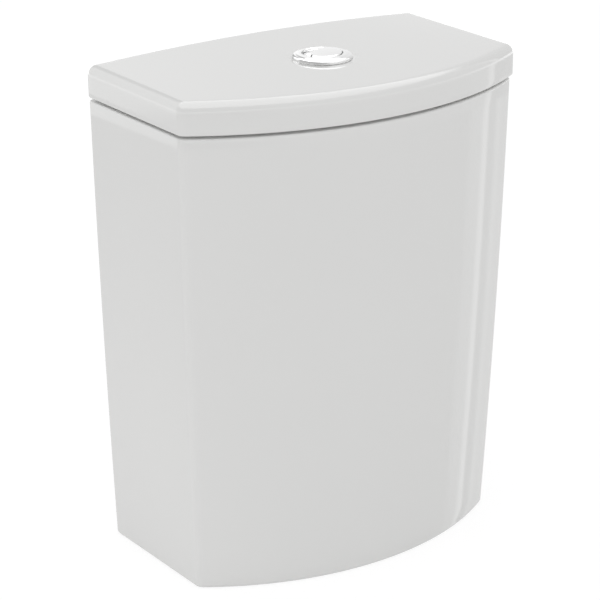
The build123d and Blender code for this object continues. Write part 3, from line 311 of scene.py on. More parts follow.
def shade_smooth(mesh: bpy.types.Mesh) -> None:
    """Shades a mesh smooth, apart from its sharp edges."""
    for face in mesh.polygons:
        face.use_smooth = True
    mesh.set_sharp_from_angle(angle=SHARP_ANGLE)


def finished(
    bm: bmesh.types.BMesh,
    name: str,
    finish: Finish,
    body: str,
    nodes: Sequence[str] = (),
) -> bpy.types.Object:
    """Turns a mesh in millimetres to a piece of the cistern.

    Args:
        bm: the mesh, which is freed.
        name: the piece's name.
        finish: its material.
        body: the body that it rides on.
        nodes: the nodes of the frame that it stands for.

    Returns:
        The new object, at the origin.
    """
    bmesh.ops.scale(bm, vec=(MM, MM, MM), verts=bm.verts)
    mesh = to_mesh(bm, name)
    shade_smooth(mesh)
    piece = add_object(name, mesh)
    mesh.materials.append(finish.material())
    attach(piece, body)
    if nodes:
        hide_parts(*nodes)
    log.info("%s: %d faces on %s", name, len(mesh.polygons), body)
    return piece


def soften(bm: bmesh.types.BMesh, width: float, segments: int = 2) -> None:
    """Rounds the sharp edges of a mesh.

    Args:
        bm: the mesh.
        width: how far the rounding reaches from each edge.
        segments: steps across the rounding.
    """
    sharp = [e for e in bm.edges if e.is_manifold and e.calc_face_angle() > SHARP_ANGLE]
    bmesh.ops.bevel(
        bm, geom=sharp, offset=width, offset_type="OFFSET", segments=segments, profile=0.5,
        affect="EDGES", clamp_overlap=True, material=-1,
    )


def lathe(
    profile: Sequence[tuple[float, float]], centre: Vector, steps: int = 96
) -> bmesh.types.BMesh:
    """Turns a closed profile round an upright axis.

    Args:
        profile: radius and height of each corner.
        centre: a point on the axis.
        steps: faces round the axis.

    Returns:
        The turned mesh, with its faces outwards.
    """
    bm = bmesh.new()
    ring = [bm.verts.new(centre + Vector((radius, 0, height))) for radius, height in profile]
    for start, end in zip(ring, ring[1:] + ring[:1]):
        bm.edges.new((start, end))
    bmesh.ops.spin(
        bm, geom=bm.verts[:] + bm.edges[:], cent=centre, axis=UP, angle=math.tau,
        steps=steps, use_merge=True,
    )
    bmesh.ops.remove_doubles(bm, verts=bm.verts, dist=MERGE_MM)
    wires = [edge for edge in bm.edges if not edge.link_faces]
    bmesh.ops.delete(bm, geom=wires, context="EDGES")
    bmesh.ops.recalc_face_normals(bm, faces=bm.faces)
    return bm


def coil(
    bm: bmesh.types.BMesh,
    section: Sequence[tuple[float, float]],
    centre: Vector,
    runs: Sequence[tuple[float, float]],
    steps: int = 24,
) -> None:
    """Winds a closed section up round an upright axis, into a mesh.

    Args:
        bm: the mesh that the coil joins.
        section: radius and height of each corner at the start.
        centre: a point on the axis.
        runs: turns and pitch of each stretch, from the start.
        steps: faces in each turn.
    """
    ring = [bm.verts.new(centre + Vector((radius, 0, height))) for radius, height in section]
    edges = [bm.edges.new(pair) for pair in zip(ring, ring[1:] + ring[:1])]
    bm.faces.new(ring)
    geom = ring + edges
    for turns, pitch in runs:
        count = max(1, round(turns * steps))
        made = bmesh.ops.spin(
            bm, geom=geom, cent=centre, axis=UP, dvec=(0, 0, pitch * turns / count),
            angle=math.tau * turns, steps=count, use_merge=False,
        )
        geom = made["geom_last"]
    bm.faces.new(ordered_ring(geom))
    bmesh.ops.recalc_face_normals(bm, faces=bm.faces)


def ordered_ring(geom: Iterable[object]) -> list[bmesh.types.BMVert]:
    """Returns the corners of one closed loop of edges, in order."""
    edges = [item for item in geom if isinstance(item, bmesh.types.BMEdge)]
    start = edges[0].verts[0]
    ring, last = [start], None
    while True:
        step = next(e for e in edges if ring[-1] in e.verts and e is not last)
        corner = step.other_vert(ring[-1])
        if corner is start:
            return ring
        ring.append(corner)
        last = step


def ring_stack(
    rings: Sequence[Sequence[Vector]], poles: Sequence[Vector] = ()
) -> bmesh.types.BMesh:
    """Lofts a closed shell through rings of as many points each.

    Args:
        rings: the rings in order, each with its points in the same order.
        poles: the points that the first and the last ring close on. Without them the last
            ring joins the first.

    Returns:
        The shell, with its faces outwards.
    """
    bm = bmesh.new()
    corners = [bm.verts.new(point) for point in rings[0]]
    for pair in zip(corners, corners[1:] + corners[:1]):
        bm.edges.new(pair)
    edges = bm.edges[:]
    if poles:
        close_on(bm, edges, poles[0])
    for ring in rings[1:] if poles else [*rings[1:], rings[0]]:
        made = bmesh.ops.extrude_edge_only(bm, edges=edges)["geom"]
        fresh = {item for item in made if isinstance(item, bmesh.types.BMVert)}
        edges = [e for e in made if isinstance(e, bmesh.types.BMEdge) and fresh.issuperset(e.verts)]
        corners = [
            next(e.other_vert(v) for e in v.link_edges if e.other_vert(v) in fresh)
            for v in corners
        ]
        for corner, point in zip(corners, ring):
            corner.co = point
    if poles:
        close_on(bm, edges, poles[1])
    bmesh.ops.remove_doubles(bm, verts=bm.verts, dist=MERGE_MM)
    bmesh.ops.recalc_face_normals(bm, faces=bm.faces)
    return bm


def close_on(
    bm: bmesh.types.BMesh, edges: Sequence[bmesh.types.BMEdge], pole: Vector
) -> None:
    """Closes a loop of edges with a fan of faces that meet in a pole."""
    made = bmesh.ops.extrude_edge_only(bm, edges=edges)["geom"]
    fresh = [item for item in made if isinstance(item, bmesh.types.BMVert)]
    bmesh.ops.pointmerge(bm, verts=fresh, merge_co=pole)


def absorb(bm: bmesh.types.BMesh, part: bmesh.types.BMesh) -> None:
    """Moves the faces of one mesh into another, and frees the first."""
    mesh = to_mesh(part, "part")
    bm.from_mesh(mesh)
    bpy.data.meshes.remove(mesh)


def cylinders(
    places: Iterable[tuple[Matrix, float, float]], steps: int = 48
) -> bmesh.types.BMesh:
    """Makes closed cylinders, each from its place, radius and length."""
    bm = bmesh.new()
    for place, radius, length in places:
        bmesh.ops.create_cone(
            bm, cap_ends=True, segments=steps, radius1=radius, radius2=radius, depth=length,
            matrix=place,
        )
    return bm


def cut_away(piece: bpy.types.Object, bm: bmesh.types.BMesh) -> None:
    """Cuts a mesh in millimetres out of a finished piece, and frees it."""
    bmesh.ops.scale(bm, vec=(MM, MM, MM), verts=bm.verts)
    cutter = add_object("bores", to_mesh(bm, "bores"))
    cut = piece.modifiers.new("bores", "BOOLEAN")
    cut.operation = "DIFFERENCE"
    cut.object = cutter
    bpy.context.view_layer.update()
    evaluated = piece.evaluated_get(bpy.context.evaluated_depsgraph_get())
    mesh = bpy.data.meshes.new_from_object(evaluated)
    piece.modifiers.clear()
    mesh.name = piece.name
    piece.data = mesh
    shade_smooth(mesh)
    bpy.data.objects.remove(cutter)


def slim(
    bm: bmesh.types.BMesh, hub: Vector, high: float, radius: float, slimmer: float, run: float
) -> None:
    """Draws in the outside of an upright tube below a height, for a thread to stand on.

    Args:
        bm: the mesh.
        hub: a point on the tube's axis.
        high: top of the slimmer length.
        radius: outside radius of the tube.
        slimmer: outside radius of the slimmer length.
        run: height over which the tube widens again.
    """
    for height in (high, high + run):
        bmesh.ops.bisect_plane(
            bm, geom=bm.verts[:] + bm.edges[:] + bm.faces[:], plane_co=(0, 0, height), plane_no=UP
        )
    wall = [
        v for v in bm.verts
        if v.co.z < high + run / 2 and (v.co - hub).xy.length > (radius + slimmer) / 2
    ]
    share = slimmer / radius
    bmesh.ops.scale(bm, vec=(share, share, 1), space=Matrix.Translation(-hub), verts=wall)


def bench_copy(node: str, width: float, segments: int = 2) -> bmesh.types.BMesh:
    """Copies a node's mesh, joins its flat faces and rounds its edges.

    Args:
        node: the node's name.
        width: reach of the rounding.
        segments: steps across the rounding.

    Returns:
        The copy, in millimetres.
    """
    bm = bmesh.new()
    bm.from_mesh(frame["nodes"][node].data)
    bmesh.ops.scale(bm, vec=(1 / MM,) * 3, verts=bm.verts)
    bmesh.ops.remove_doubles(bm, verts=bm.verts, dist=CAD_MERGE_MM)
    bmesh.ops.dissolve_limit(bm, angle_limit=FLAT_ANGLE, verts=bm.verts, edges=bm.edges)
    soften(bm, width, segments)
    return bm


def dress(
    node: str, finish: Finish, width: float, ending: str = "moulding", segments: int = 2
) -> None:
    """Makes a piece of a CAD node's own mesh, with its edges rounded.

    Args:
        node: the node that it stands for.
        finish: its material.
        width: reach of the rounding.
        ending: what the piece's name adds to the node's.
        segments: steps across the rounding.
    """
    piece = bench_copy(node, width, segments)
    finished(piece, f"{node}_{ending}", finish, body_of(node), [node])


@dataclass(frozen=True)
class BowOutline:
    """Plan of a bow-fronted form with rounded corners.

    Attributes:
        back_half: half width at the back.
        front_half: half width where the sides meet the bow.
        side_depth: depth of the straight sides.
        bow_depth: how far the bow stands out in front of them.
        back_y: place of the back edge.
        back_corner: radius of the back corners.
        front_corner: radius of the front corners.
        least_corner: smallest radius that a drawn-in corner keeps.
        steps: points of half the back, a back corner, a side, a front corner and half the bow.
    """

    back_half: float
    front_half: float
    side_depth: float
    bow_depth: float
    back_y: float
    back_corner: float
    front_corner: float
    least_corner: float = 0.8
    steps: tuple[int, int, int, int, int] = (14, 10, 16, 12, 44)

    def half(self, inset: float) -> list[Vector]:
        """Returns the right half from the middle of the back to the middle of the bow.

        Args:
            inset: how far the outline is drawn in.
        """
        bow = (self.front_half**2 + self.bow_depth**2) / (2 * self.bow_depth)
        centre = Vector((0, self.back_y - self.side_depth - self.bow_depth + bow))
        radius = bow - inset
        back_y = self.back_y - inset
        corner = Vector((self.back_half - inset, back_y))
        front = self.front_half - inset
        end = Vector((front, centre.y - math.sqrt(radius**2 - front**2)))
        along = (end - corner).normalized()
        inward = Vector((along.y, -along.x))
        back_r = max(self.back_corner - inset, self.least_corner)
        front_r = max(self.front_corner - inset, self.least_corner)
        reach = -back_r * (1 + inward.y) / along.y
        back_hub = corner + along * reach + inward * back_r
        start = corner + inward * front_r - centre
        dot = start.dot(along)
        reach = -dot + math.sqrt(dot**2 - start.length_squared + (radius - front_r) ** 2)
        front_hub = corner + along * reach + inward * front_r
        side_angle = math.atan2(-inward.y, -inward.x)
        spoke = front_hub - centre
        bow_angle = math.atan2(spoke.y, spoke.x)
        side_start = back_hub - inward * back_r
        side_end = front_hub - inward * front_r
        back, back_turn, side, front_turn, front_bow = self.steps
        points = [Vector((back_hub.x * i / back, back_y)) for i in range(back)]
        points += self.arc(back_hub, back_r, math.pi / 2, side_angle, back_turn)
        points += [side_start.lerp(side_end, i / side) for i in range(side)]
        points += self.arc(front_hub, front_r, side_angle, bow_angle, front_turn)
        points += self.arc(centre, radius, bow_angle, -math.pi / 2, front_bow)
        points.append(Vector((0, centre.y - radius)))
        return points

    @staticmethod
    def arc(hub: Vector, radius: float, first: float, last: float, count: int) -> list[Vector]:
        """Returns points along an arc, without its last one."""
        angles = (first + (last - first) * i / count for i in range(count))
        return [hub + Vector((math.cos(a), math.sin(a))) * radius for a in angles]

    def ring(self, inset: float, height: float) -> list[Vector]:
        """Returns the whole outline at a height, drawn in by an inset."""
        half = self.half(inset)
        left = [Vector((-p.x, p.y)) for p in reversed(half[1:-1])]
        return [Vector((p.x, p.y, height)) for p in half + left]


def quarter(radius: float, steps: int) -> list[tuple[float, float]]:
    """Returns the inset and rise along a quarter round, from upright to level."""
    angles = [math.pi / 2 * i / steps for i in range(steps + 1)]
    return [(radius * (1 - math.cos(a)), radius * math.sin(a)) for a in angles]


def to_circle(ring: Sequence[Vector], hub: Vector, radius: float, height: float) -> list[Vector]:
    """Returns the points of a circle that lie in the same directions as a ring's."""
    circle = []
    for point in ring:
        spoke = Vector((point.x - hub.x, point.y - hub.y, 0)).normalized() * radius
        circle.append(Vector((hub.x + spoke.x, hub.y + spoke.y, height)))
    return circle


def between(first: Sequence[Vector], last: Sequence[Vector], share: float) -> list[Vector]:
    """Returns the ring at a share of the way from one ring to another."""
    return [a.lerp(b, share) for a, b in zip(first, last)]


def spread(
    first: Sequence[Vector], last: Sequence[Vector], count: int
) -> list[list[Vector]]:
    """Returns rings at even steps from one ring to another, and the last one too."""
    return [between(first, last, i / count) for i in range(1, count + 1)]


@dataclass
class ChinaShells:
    """The two glazed china pieces: the bow-fronted tank and its crowned lid.

    Lengths follow the real pieces. A crown is the rise of the lid's top over its edge, a drop
    is measured down from the tank's rim, and an inset is measured in from the outline.
    Steps are faces across a rounding: round_steps where it shows, crown_steps along the lid's
    top edge, and hollow_steps and hidden_steps inside. Rings are bands along a stretch.
    """

    wall_y: float = 91.2
    lid_back_half: float = 152.5
    lid_front_half: float = 152.1
    lid_side_depth: float = 136.1
    lid_bow_depth: float = 46.3
    lid_back_corner: float = 7.8
    lid_front_corner: float = 8.5
    lid_side_height: float = 24.9
    lid_back_crown: float = 5.2
    lid_front_crown: float = 0.4
    lid_top_round: float = 7.4
    lid_lower_round: float = 1.6
    lid_roof: float = 12.0
    lid_foot_inset: float = 7.6
    lid_shadow_gap: float = 0.5
    rib_inset: float = 13.9
    rib_width: float = 6.0
    rib_depth: float = 6.0
    hole_radius: float = 20.0
    hole_chamfer: float = 0.4
    seat_radius: float = 22.8
    seat_round: float = 0.3
    tank_height: float = 365.8
    side_overhang: float = 1.4
    front_overhang: float = 1.9
    bulge: float = 1.2
    wall: float = 9.5
    floor: float = 12.0
    recess: float = 40.0
    base_back_half: float = 141.0
    base_front_half: float = 138.6
    base_side_depth: float = 124.0
    base_bow_depth: float = 43.8
    tank_back_corner: float = 6.0
    tank_front_corner: float = 8.0
    top_round: float = 1.6
    rim_round: float = 0.8
    ledge_width: float = 7.2
    ledge_drop: float = 2.0
    base_round: float = 3.0
    soft_round: float = 1.6
    floor_round: float = 6.0
    outlet_radius: float = 32.0
    stud_spacing: float = 150.0
    stud_hole: float = 5.5
    inlet_offset: float = 108.0
    inlet_hole: float = 12.5
    screw_spacing: float = 200.0
    screw_hole: float = 4.0
    screw_drop: float = 40.8
    bare_height: float = 0.1
    round_steps: int = 6
    crown_steps: int = 14
    hollow_steps: int = 5
    hidden_steps: int = 4
    edge_rings: int = 6
    crown_rings: int = 18
    roof_rings: int = 6
    side_rings: int = 30
    wall_rings: int = 16
    floor_rings: int = 8
    leg_shares: tuple[float, ...] = (0.7, 0.4, 0.1)

    def __post_init__(self) -> None:
        """Finds the axis of the button and outlet from the frame."""
        self.hub = axis_of("button_bezel")
        self.seat_z = box_mm("button_bezel")[0].z
        self.lid_top = self.tank_height + self.lid_side_height

    def build(self) -> None:
        """Builds the tank and the lid."""
        self.lid()
        self.tank()

    def crown(self, x: float, y: float) -> float:
        """Returns the height of the lid's top surface over a point of its plan."""
        share = (y + self.wall_y) / (2 * self.wall_y)
        crown = self.lid_front_crown + (self.lid_back_crown - self.lid_front_crown) * share
        return self.lid_top + crown * (1 - (x / self.lid_back_half) ** 2)

    def crowned(self, ring: Sequence[Vector], drop: float = 0.0) -> list[Vector]:
        """Lays a ring on the lid's top surface, or a drop under it."""
        return [Vector((p.x, p.y, self.crown(p.x, p.y) - drop)) for p in ring]

    def lid(self) -> None:
        """Builds the lid as one shell, from its foot over the crown to its rib."""
        plan = BowOutline(
            self.lid_back_half, self.lid_front_half, self.lid_side_depth, self.lid_bow_depth,
            self.wall_y, self.lid_back_corner, self.lid_front_corner,
        )
        edge_z = self.tank_height + self.lid_shadow_gap
        side_z = edge_z + self.lid_lower_round
        rings = [plan.ring(self.lid_foot_inset, self.tank_height)]
        rings.append(plan.ring(self.lid_foot_inset, edge_z))
        for inset, rise in reversed(quarter(self.lid_lower_round, self.round_steps)):
            rings.append(plan.ring(inset, side_z - rise))
        lower = rings[-1]
        upper = self.crowned(plan.ring(0, 0), self.lid_top_round)
        rings += spread(lower, upper, self.edge_rings)[:-1]
        for inset, rise in quarter(self.lid_top_round, self.crown_steps):
            rings.append(self.crowned(plan.ring(inset, 0), self.lid_top_round - rise))
        edge = rings[-1]
        lip = to_circle(edge, self.hub, self.seat_radius + self.seat_round, 0)
        rings += [self.crowned(ring) for ring in spread(edge, lip, self.crown_rings)]
        seat = to_circle(edge, self.hub, self.seat_radius, self.seat_z)
        rings.append(self.crowned(seat, self.seat_round / 2))
        rings.append(seat)
        roof_z = self.lid_top - self.lid_roof
        for radius, height in (
            (self.hole_radius + self.hole_chamfer, self.seat_z),
            (self.hole_radius, self.seat_z - self.hole_chamfer),
            (self.hole_radius, roof_z + self.hole_chamfer),
            (self.hole_radius + self.hole_chamfer, roof_z),
        ):
            rings.append(to_circle(edge, self.hub, radius, height))
        rim = rings[-1]
        inner = self.rib_inset + self.rib_width
        roof = plan.ring(inner + self.floor_round, roof_z)
        rings += spread(rim, roof, self.roof_rings)
        for inset, rise in reversed(quarter(self.floor_round, self.hollow_steps)[:-1]):
            rings.append(plan.ring(inner + inset, roof_z - self.floor_round + rise))
        foot_z = self.tank_height - self.rib_depth
        for inset, rise in quarter(self.soft_round, self.hidden_steps):
            rings.append(plan.ring(inner - inset, foot_z + self.soft_round - rise))
        for inset, rise in reversed(quarter(self.soft_round, self.hidden_steps)):
            rings.append(plan.ring(self.rib_inset + inset, foot_z + self.soft_round - rise))
        rings.append(plan.ring(self.rib_inset, self.tank_height))
        finished(ring_stack(rings), "lid_shell", GLAZE, body_of("lid"), ["lid"])

    def tank_plan(self, height: float) -> BowOutline:
        """Returns the tank's plan at a height: it tapers to its base with a faint bulge."""
        rise = height / self.tank_height
        bulge = 4 * self.bulge * rise * (1 - rise)
        top_depth = self.lid_side_depth + self.lid_bow_depth - self.front_overhang
        depth = self.base_side_depth + self.base_bow_depth
        bow = self.base_bow_depth + (self.lid_bow_depth - self.base_bow_depth) * rise
        top_back = self.lid_back_half - self.side_overhang
        top_front = self.lid_front_half - self.side_overhang
        return BowOutline(
            self.base_back_half + (top_back - self.base_back_half) * rise + bulge,
            self.base_front_half + (top_front - self.base_front_half) * rise + bulge,
            depth + (top_depth - depth) * rise + bulge - bow,
            bow,
            self.wall_y,
            self.tank_back_corner,
            self.tank_front_corner,
        )

    def tank_ring(self, inset: float, height: float) -> list[Vector]:
        """Returns a ring of the tank at a height, drawn in by an inset."""
        return self.tank_plan(height).ring(inset, height)

    def tank(self) -> None:
        """Builds the tank as one shell, and bores the small holes through it."""
        top = self.tank_height
        side_z = top - self.ledge_drop - self.top_round
        floor_z = self.recess + self.floor
        rings = [
            self.tank_ring(inset, self.base_round - rise)
            for inset, rise in reversed(quarter(self.base_round, self.round_steps))
        ]
        rings += [
            self.tank_ring(0, self.base_round + (side_z - self.base_round) * i / self.side_rings)
            for i in range(1, self.side_rings)
        ]
        for inset, rise in quarter(self.top_round, self.round_steps):
            rings.append(self.tank_ring(inset, side_z + rise))
        rings.append(self.tank_ring(self.ledge_width, top - self.ledge_drop))
        rings.append(self.tank_ring(self.ledge_width, top))
        for inset, rise in reversed(quarter(self.rim_round, self.round_steps)):
            rings.append(self.tank_ring(self.wall - inset, top - self.rim_round + rise))
        low = floor_z + self.floor_round
        high = top - self.rim_round
        rings += [
            self.tank_ring(self.wall, high - (high - low) * i / self.wall_rings)
            for i in range(1, self.wall_rings)
        ]
        for inset, rise in quarter(self.floor_round, self.round_steps):
            rings.append(self.tank_ring(self.wall + inset, low - rise))
        floor = rings[-1]
        lip = to_circle(floor, self.hub, self.outlet_radius + self.soft_round, floor_z)
        rings += spread(floor, lip, self.floor_rings)
        for inset, rise in reversed(quarter(self.soft_round, self.hidden_steps)[:-1]):
            height = floor_z - self.soft_round + rise
            rings.append(to_circle(floor, self.hub, self.outlet_radius + inset, height))
        for inset, rise in quarter(self.soft_round, self.hidden_steps):
            height = self.recess + self.soft_round - rise
            rings.append(to_circle(floor, self.hub, self.outlet_radius + inset, height))
        lip = rings[-1]
        ceiling = self.tank_ring(self.wall + self.base_round, self.recess)
        rings += spread(lip, ceiling, self.floor_rings)
        for inset, rise in reversed(quarter(self.base_round, self.hollow_steps)[:-1]):
            height = self.recess - self.base_round + rise
            rings.append(self.tank_ring(self.wall + inset, height))
        rings += [self.tank_ring(self.wall, self.recess * share) for share in self.leg_shares]
        for inset, rise in quarter(self.soft_round, self.hidden_steps):
            rings.append(self.tank_ring(self.wall - inset, self.soft_round - rise))
        shell = finished(ring_stack(rings), "tank_shell", GLAZE, body_of("tank"), ["tank"])
        self.bore(shell)
        shell.data.materials.append(BISCUIT.material())
        for face in shell.data.polygons:
            if face.center.z < self.bare_height * MM:
                face.material_index = 1

    def bore(self, shell: bpy.types.Object) -> None:
        """Cuts the holes for the studs, the inlet and the wall screws through the tank."""
        middle = self.recess + self.floor / 2
        places = [
            (Matrix.Translation((x, self.hub.y, middle)), radius, 2 * self.floor)
            for x, radius in (
                (-self.stud_spacing / 2, self.stud_hole),
                (self.stud_spacing / 2, self.stud_hole),
                (-self.inlet_offset, self.inlet_hole),
            )
        ]
        level = Matrix.Rotation(math.pi / 2, 4, "X")
        height = self.tank_height - self.screw_drop
        for side in (-1, 1):
            spot = (side * self.screw_spacing / 2, self.wall_y - self.wall / 2, height)
            places.append((Matrix.Translation(spot) @ level, self.screw_hole, 2 * self.wall))
        cut_away(shell, cylinders(places))


@dataclass(frozen=True)
class Threaded:
    """A length of outside thread on an upright axis, as a ridge round a core.

    Attributes:
        radius: outside radius.
        pitch: rise of a turn.
        depth: how far the ridge stands out of the core.
        low: bottom of the thread.
        high: top of the thread.
        ridge_share: half the ridge's height, as a share of the pitch.
        crest_share: half the crest's height, as a share of half the ridge's.
        root: how far the ridge reaches into the core.
    """

    radius: float
    pitch: float
    depth: float
    low: float
    high: float
    ridge_share: float = 0.44
    crest_share: float = 0.2
    root: float = 0.1

    def wind(self, bm: bmesh.types.BMesh, hub: Vector, steps: int) -> None:
        """Winds the ridge into a mesh round a hub, with a number of steps a turn."""
        inside = self.radius - self.depth - self.root
        half = self.pitch * self.ridge_share
        section = [
            (inside, self.low),
            (self.radius, self.low + half * (1 - self.crest_share)),
            (self.radius, self.low + half * (1 + self.crest_share)),
            (inside, self.low + 2 * half),
        ]
        turns = (self.high - self.low - 2 * half) / self.pitch
        coil(bm, section, hub, [(turns, self.pitch)], steps)


@dataclass
class PushButton:
    """The chrome dual push button, its guide sleeve and its springs."""

    radius: float = 22.7
    opening: float = 15.6
    wall_height: float = 3.8
    rim_height: float = 4.8
    skirt: float = 1.4
    recess: float = 2.0
    wall_round: float = 1.7
    rim_round: float = 0.6
    rim_crown: float = 0.25
    foot_groove: float = 0.35
    foot_depth: float = 0.6
    button_gap: float = 0.7
    button_lip: float = 0.4
    flange: float = 6.7
    flange_top: float = 1.7
    full_stand: float = 0.35
    half_sink: float = 0.4
    split_angle: float = math.radians(-54.5)
    split_mid: float = 6.0
    split_radius: float = 40.0
    split_gap: float = 0.9
    dome_rise: float = 1.0
    dish_middle: float = -13.8
    dish_span: float = 8.4
    dish_depth: float = 1.5
    edge_round: float = 0.5
    floor_drop: float = 1.0
    boss_radius: float = 3.2
    boss_length: float = 4.0
    rod_bore: float = 2.55
    full_rod: tuple[float, float] = (7.0, 5.0)
    half_rod: tuple[float, float] = (-10.5, -5.0)
    sleeve_radius: float = 19.0
    sleeve_bore: float = 16.3
    sleeve_floor: float = 3.0
    thread_depth: float = 0.9
    thread_pitch: float = 2.5
    sleeve_chamfer: float = 1.0
    stroke: float = 7.0
    wire: float = 0.8
    wire_sides: int = 8
    spring_turns: int = 8
    closed_share: float = 1.05
    round_steps: int = 6
    ring_steps: int = 160
    cap_steps: int = 144
    crown_shares: tuple[float, ...] = (0.2, 0.4, 0.6, 0.8)
    top_shares: tuple[float, ...] = (0.95, 0.88, 0.8, 0.7, 0.6, 0.5, 0.4, 0.3, 0.2, 0.1)

    def __post_init__(self) -> None:
        """Finds the button's axis and seat from the frame."""
        self.hub = axis_of("button_bezel")
        self.seat_z = box_mm("button_bezel")[0].z
        self.turn = Matrix.Rotation(self.split_angle, 4, "Z")

    def build(self) -> None:
        """Builds the ring, both buttons, the sleeve and the springs."""
        self.bezel()
        middle = (self.opening - self.split_mid) / 2
        self.button("full_flush_button", self.full_edge, middle, self.dome, self.full_rod)
        middle = -(self.opening + self.split_mid) / 2
        self.button("half_flush_button", self.half_edge, middle, self.dish, self.half_rod)
        self.sleeve()
        for side in ("full", "half"):
            self.spring(f"{side}_button_spring")
            dress(f"{side}_push_rod", WHITE_ABS, 0.2)

    def bezel(self) -> None:
        """Builds the chrome ring with a rolled outer wall and a gently domed top."""
        top = [
            (self.radius - inset, self.wall_height - self.wall_round + rise)
            for inset, rise in quarter(self.wall_round, self.round_steps)
        ]
        rim = [
            (self.opening + inset, self.rim_height - self.rim_round + rise)
            for inset, rise in reversed(quarter(self.rim_round, self.round_steps))
        ]
        span = top[-1][0] - rim[0][0]
        fall = top[-1][1] - rim[0][1]
        crown = [
            (
                top[-1][0] - span * share,
                top[-1][1] - fall * share + self.rim_crown * math.sin(math.pi * share),
            )
            for share in self.crown_shares
        ]
        profile = [
            (self.radius - self.skirt, 0),
            (self.radius - self.foot_depth, 0),
            (self.radius - self.foot_depth, self.foot_groove),
            (self.radius, self.foot_groove + self.foot_depth / 4),
            *top,
            *crown,
            *rim,
            (self.opening, self.recess),
            (self.radius - self.skirt, self.recess),
        ]
        profile = [(radius, self.seat_z + height) for radius, height in profile]
        ring = lathe(profile, self.hub, self.ring_steps)
        finished(ring, "button_ring", CHROME, body_of("button_bezel"), ["button_bezel"])

    def full_edge(self, start: Vector, angle: float, radius: float) -> float:
        """Returns how far the full-flush button reaches from a point at an angle."""
        ray = Vector((math.cos(angle), math.sin(angle)))
        split = self.split_radius - self.split_gap / 2
        split_hub = Vector((self.split_radius - self.split_mid, 0))
        rim = self.leave(start, ray, Vector((0, 0)), radius)
        return min(rim, self.leave(start, ray, split_hub, split))

    def half_edge(self, start: Vector, angle: float, radius: float) -> float:
        """Returns how far the half-flush button reaches from a point at an angle."""
        ray = Vector((math.cos(angle), math.sin(angle)))
        split = self.split_radius + self.split_gap / 2
        offset = start - Vector((self.split_radius - self.split_mid, 0))
        dot = offset.dot(ray)
        root = dot**2 - offset.length_squared + split**2
        enter = -dot - math.sqrt(root) if root > 0 and dot < 0 else math.inf
        return min(self.leave(start, ray, Vector((0, 0)), radius), enter)

    @staticmethod
    def leave(start: Vector, ray: Vector, hub: Vector, radius: float) -> float:
        """Returns the way along a ray to where it leaves a circle."""
        offset = start - hub
        dot = offset.dot(ray)
        return -dot + math.sqrt(dot**2 - offset.length_squared + radius**2)

    def dome(self, point: Vector) -> float:
        """Returns the rise of the full-flush button's lens over the rim at a point."""
        crown = self.dome_rise * (1 - point.length_squared / self.opening**2)
        return self.full_stand + crown

    def dish(self, point: Vector) -> float:
        """Returns the rise of the half-flush button's hollowed top over the rim at a point."""
        share = (point.x - self.dish_middle) / self.dish_span
        return -self.half_sink - self.dish_depth * max(1 - share**2, 0)

    def button(
        self,
        node: str,
        edge: Callable[[Vector, float, float], float],
        middle: float,
        rise: Callable[[Vector], float],
        rod: tuple[float, float],
    ) -> None:
        """Builds one button as a stack of rings from its flange to its top.

        Args:
            node: the node that it stands for.
            edge: how far the button reaches from a point, at an angle and a radius.
            middle: where its rings close, along the line across the split.
            rise: the height of its top over the rim at a point.
            rod: place of its push rod, across and along the split.
        """
        angles = [math.tau * i / self.cap_steps for i in range(self.cap_steps)]
        centre = Vector((middle, 0))
        outer = self.opening + self.button_lip
        inner = self.opening - self.button_gap
        bottom = self.flange_top - self.flange
        plan: list[tuple[float, float, float, bool]] = [
            (0.5, outer, bottom, False),
            (1.0, outer, bottom, False),
            (1.0, outer, self.flange_top, False),
            (1.0, inner, self.flange_top, False),
            (1.0, inner, -self.edge_round - self.floor_drop, True),
        ]
        for inset, lift in quarter(self.edge_round, self.round_steps):
            plan.append((1.0, inner - inset, lift - self.edge_round, True))
        for share in self.top_shares:
            plan.append((share, inner - self.edge_round, 0.0, True))
        rings = []
        for share, radius, height, shaped in plan:
            ring = []
            for angle in angles:
                ray = Vector((math.cos(angle), math.sin(angle)))
                spot = centre + ray * edge(centre, angle, radius) * share
                ring.append(self.place(spot, height + (self.rim_height + rise(spot)) * shaped))
            rings.append(ring)
        poles = (self.place(centre, bottom), self.place(centre, self.rim_height + rise(centre)))
        cap = ring_stack(rings, poles)
        low = self.seat_z + bottom - self.boss_length
        high = self.seat_z + bottom + self.edge_round
        wall = [(self.rod_bore, low), (self.boss_radius, low), (self.boss_radius, high)]
        boss_hub = self.place(Vector(rod), 0) * FLAT
        absorb(cap, lathe([*wall, (self.rod_bore, high)], boss_hub, steps=32))
        finished(cap, f"{node}_cap", CHROME, body_of(node), [node])

    def place(self, spot: Vector, height: float) -> Vector:
        """Returns the place of a point of the buttons' plan, at a height over the seat."""
        return self.hub + self.turn @ Vector((spot.x, spot.y, self.seat_z + height))

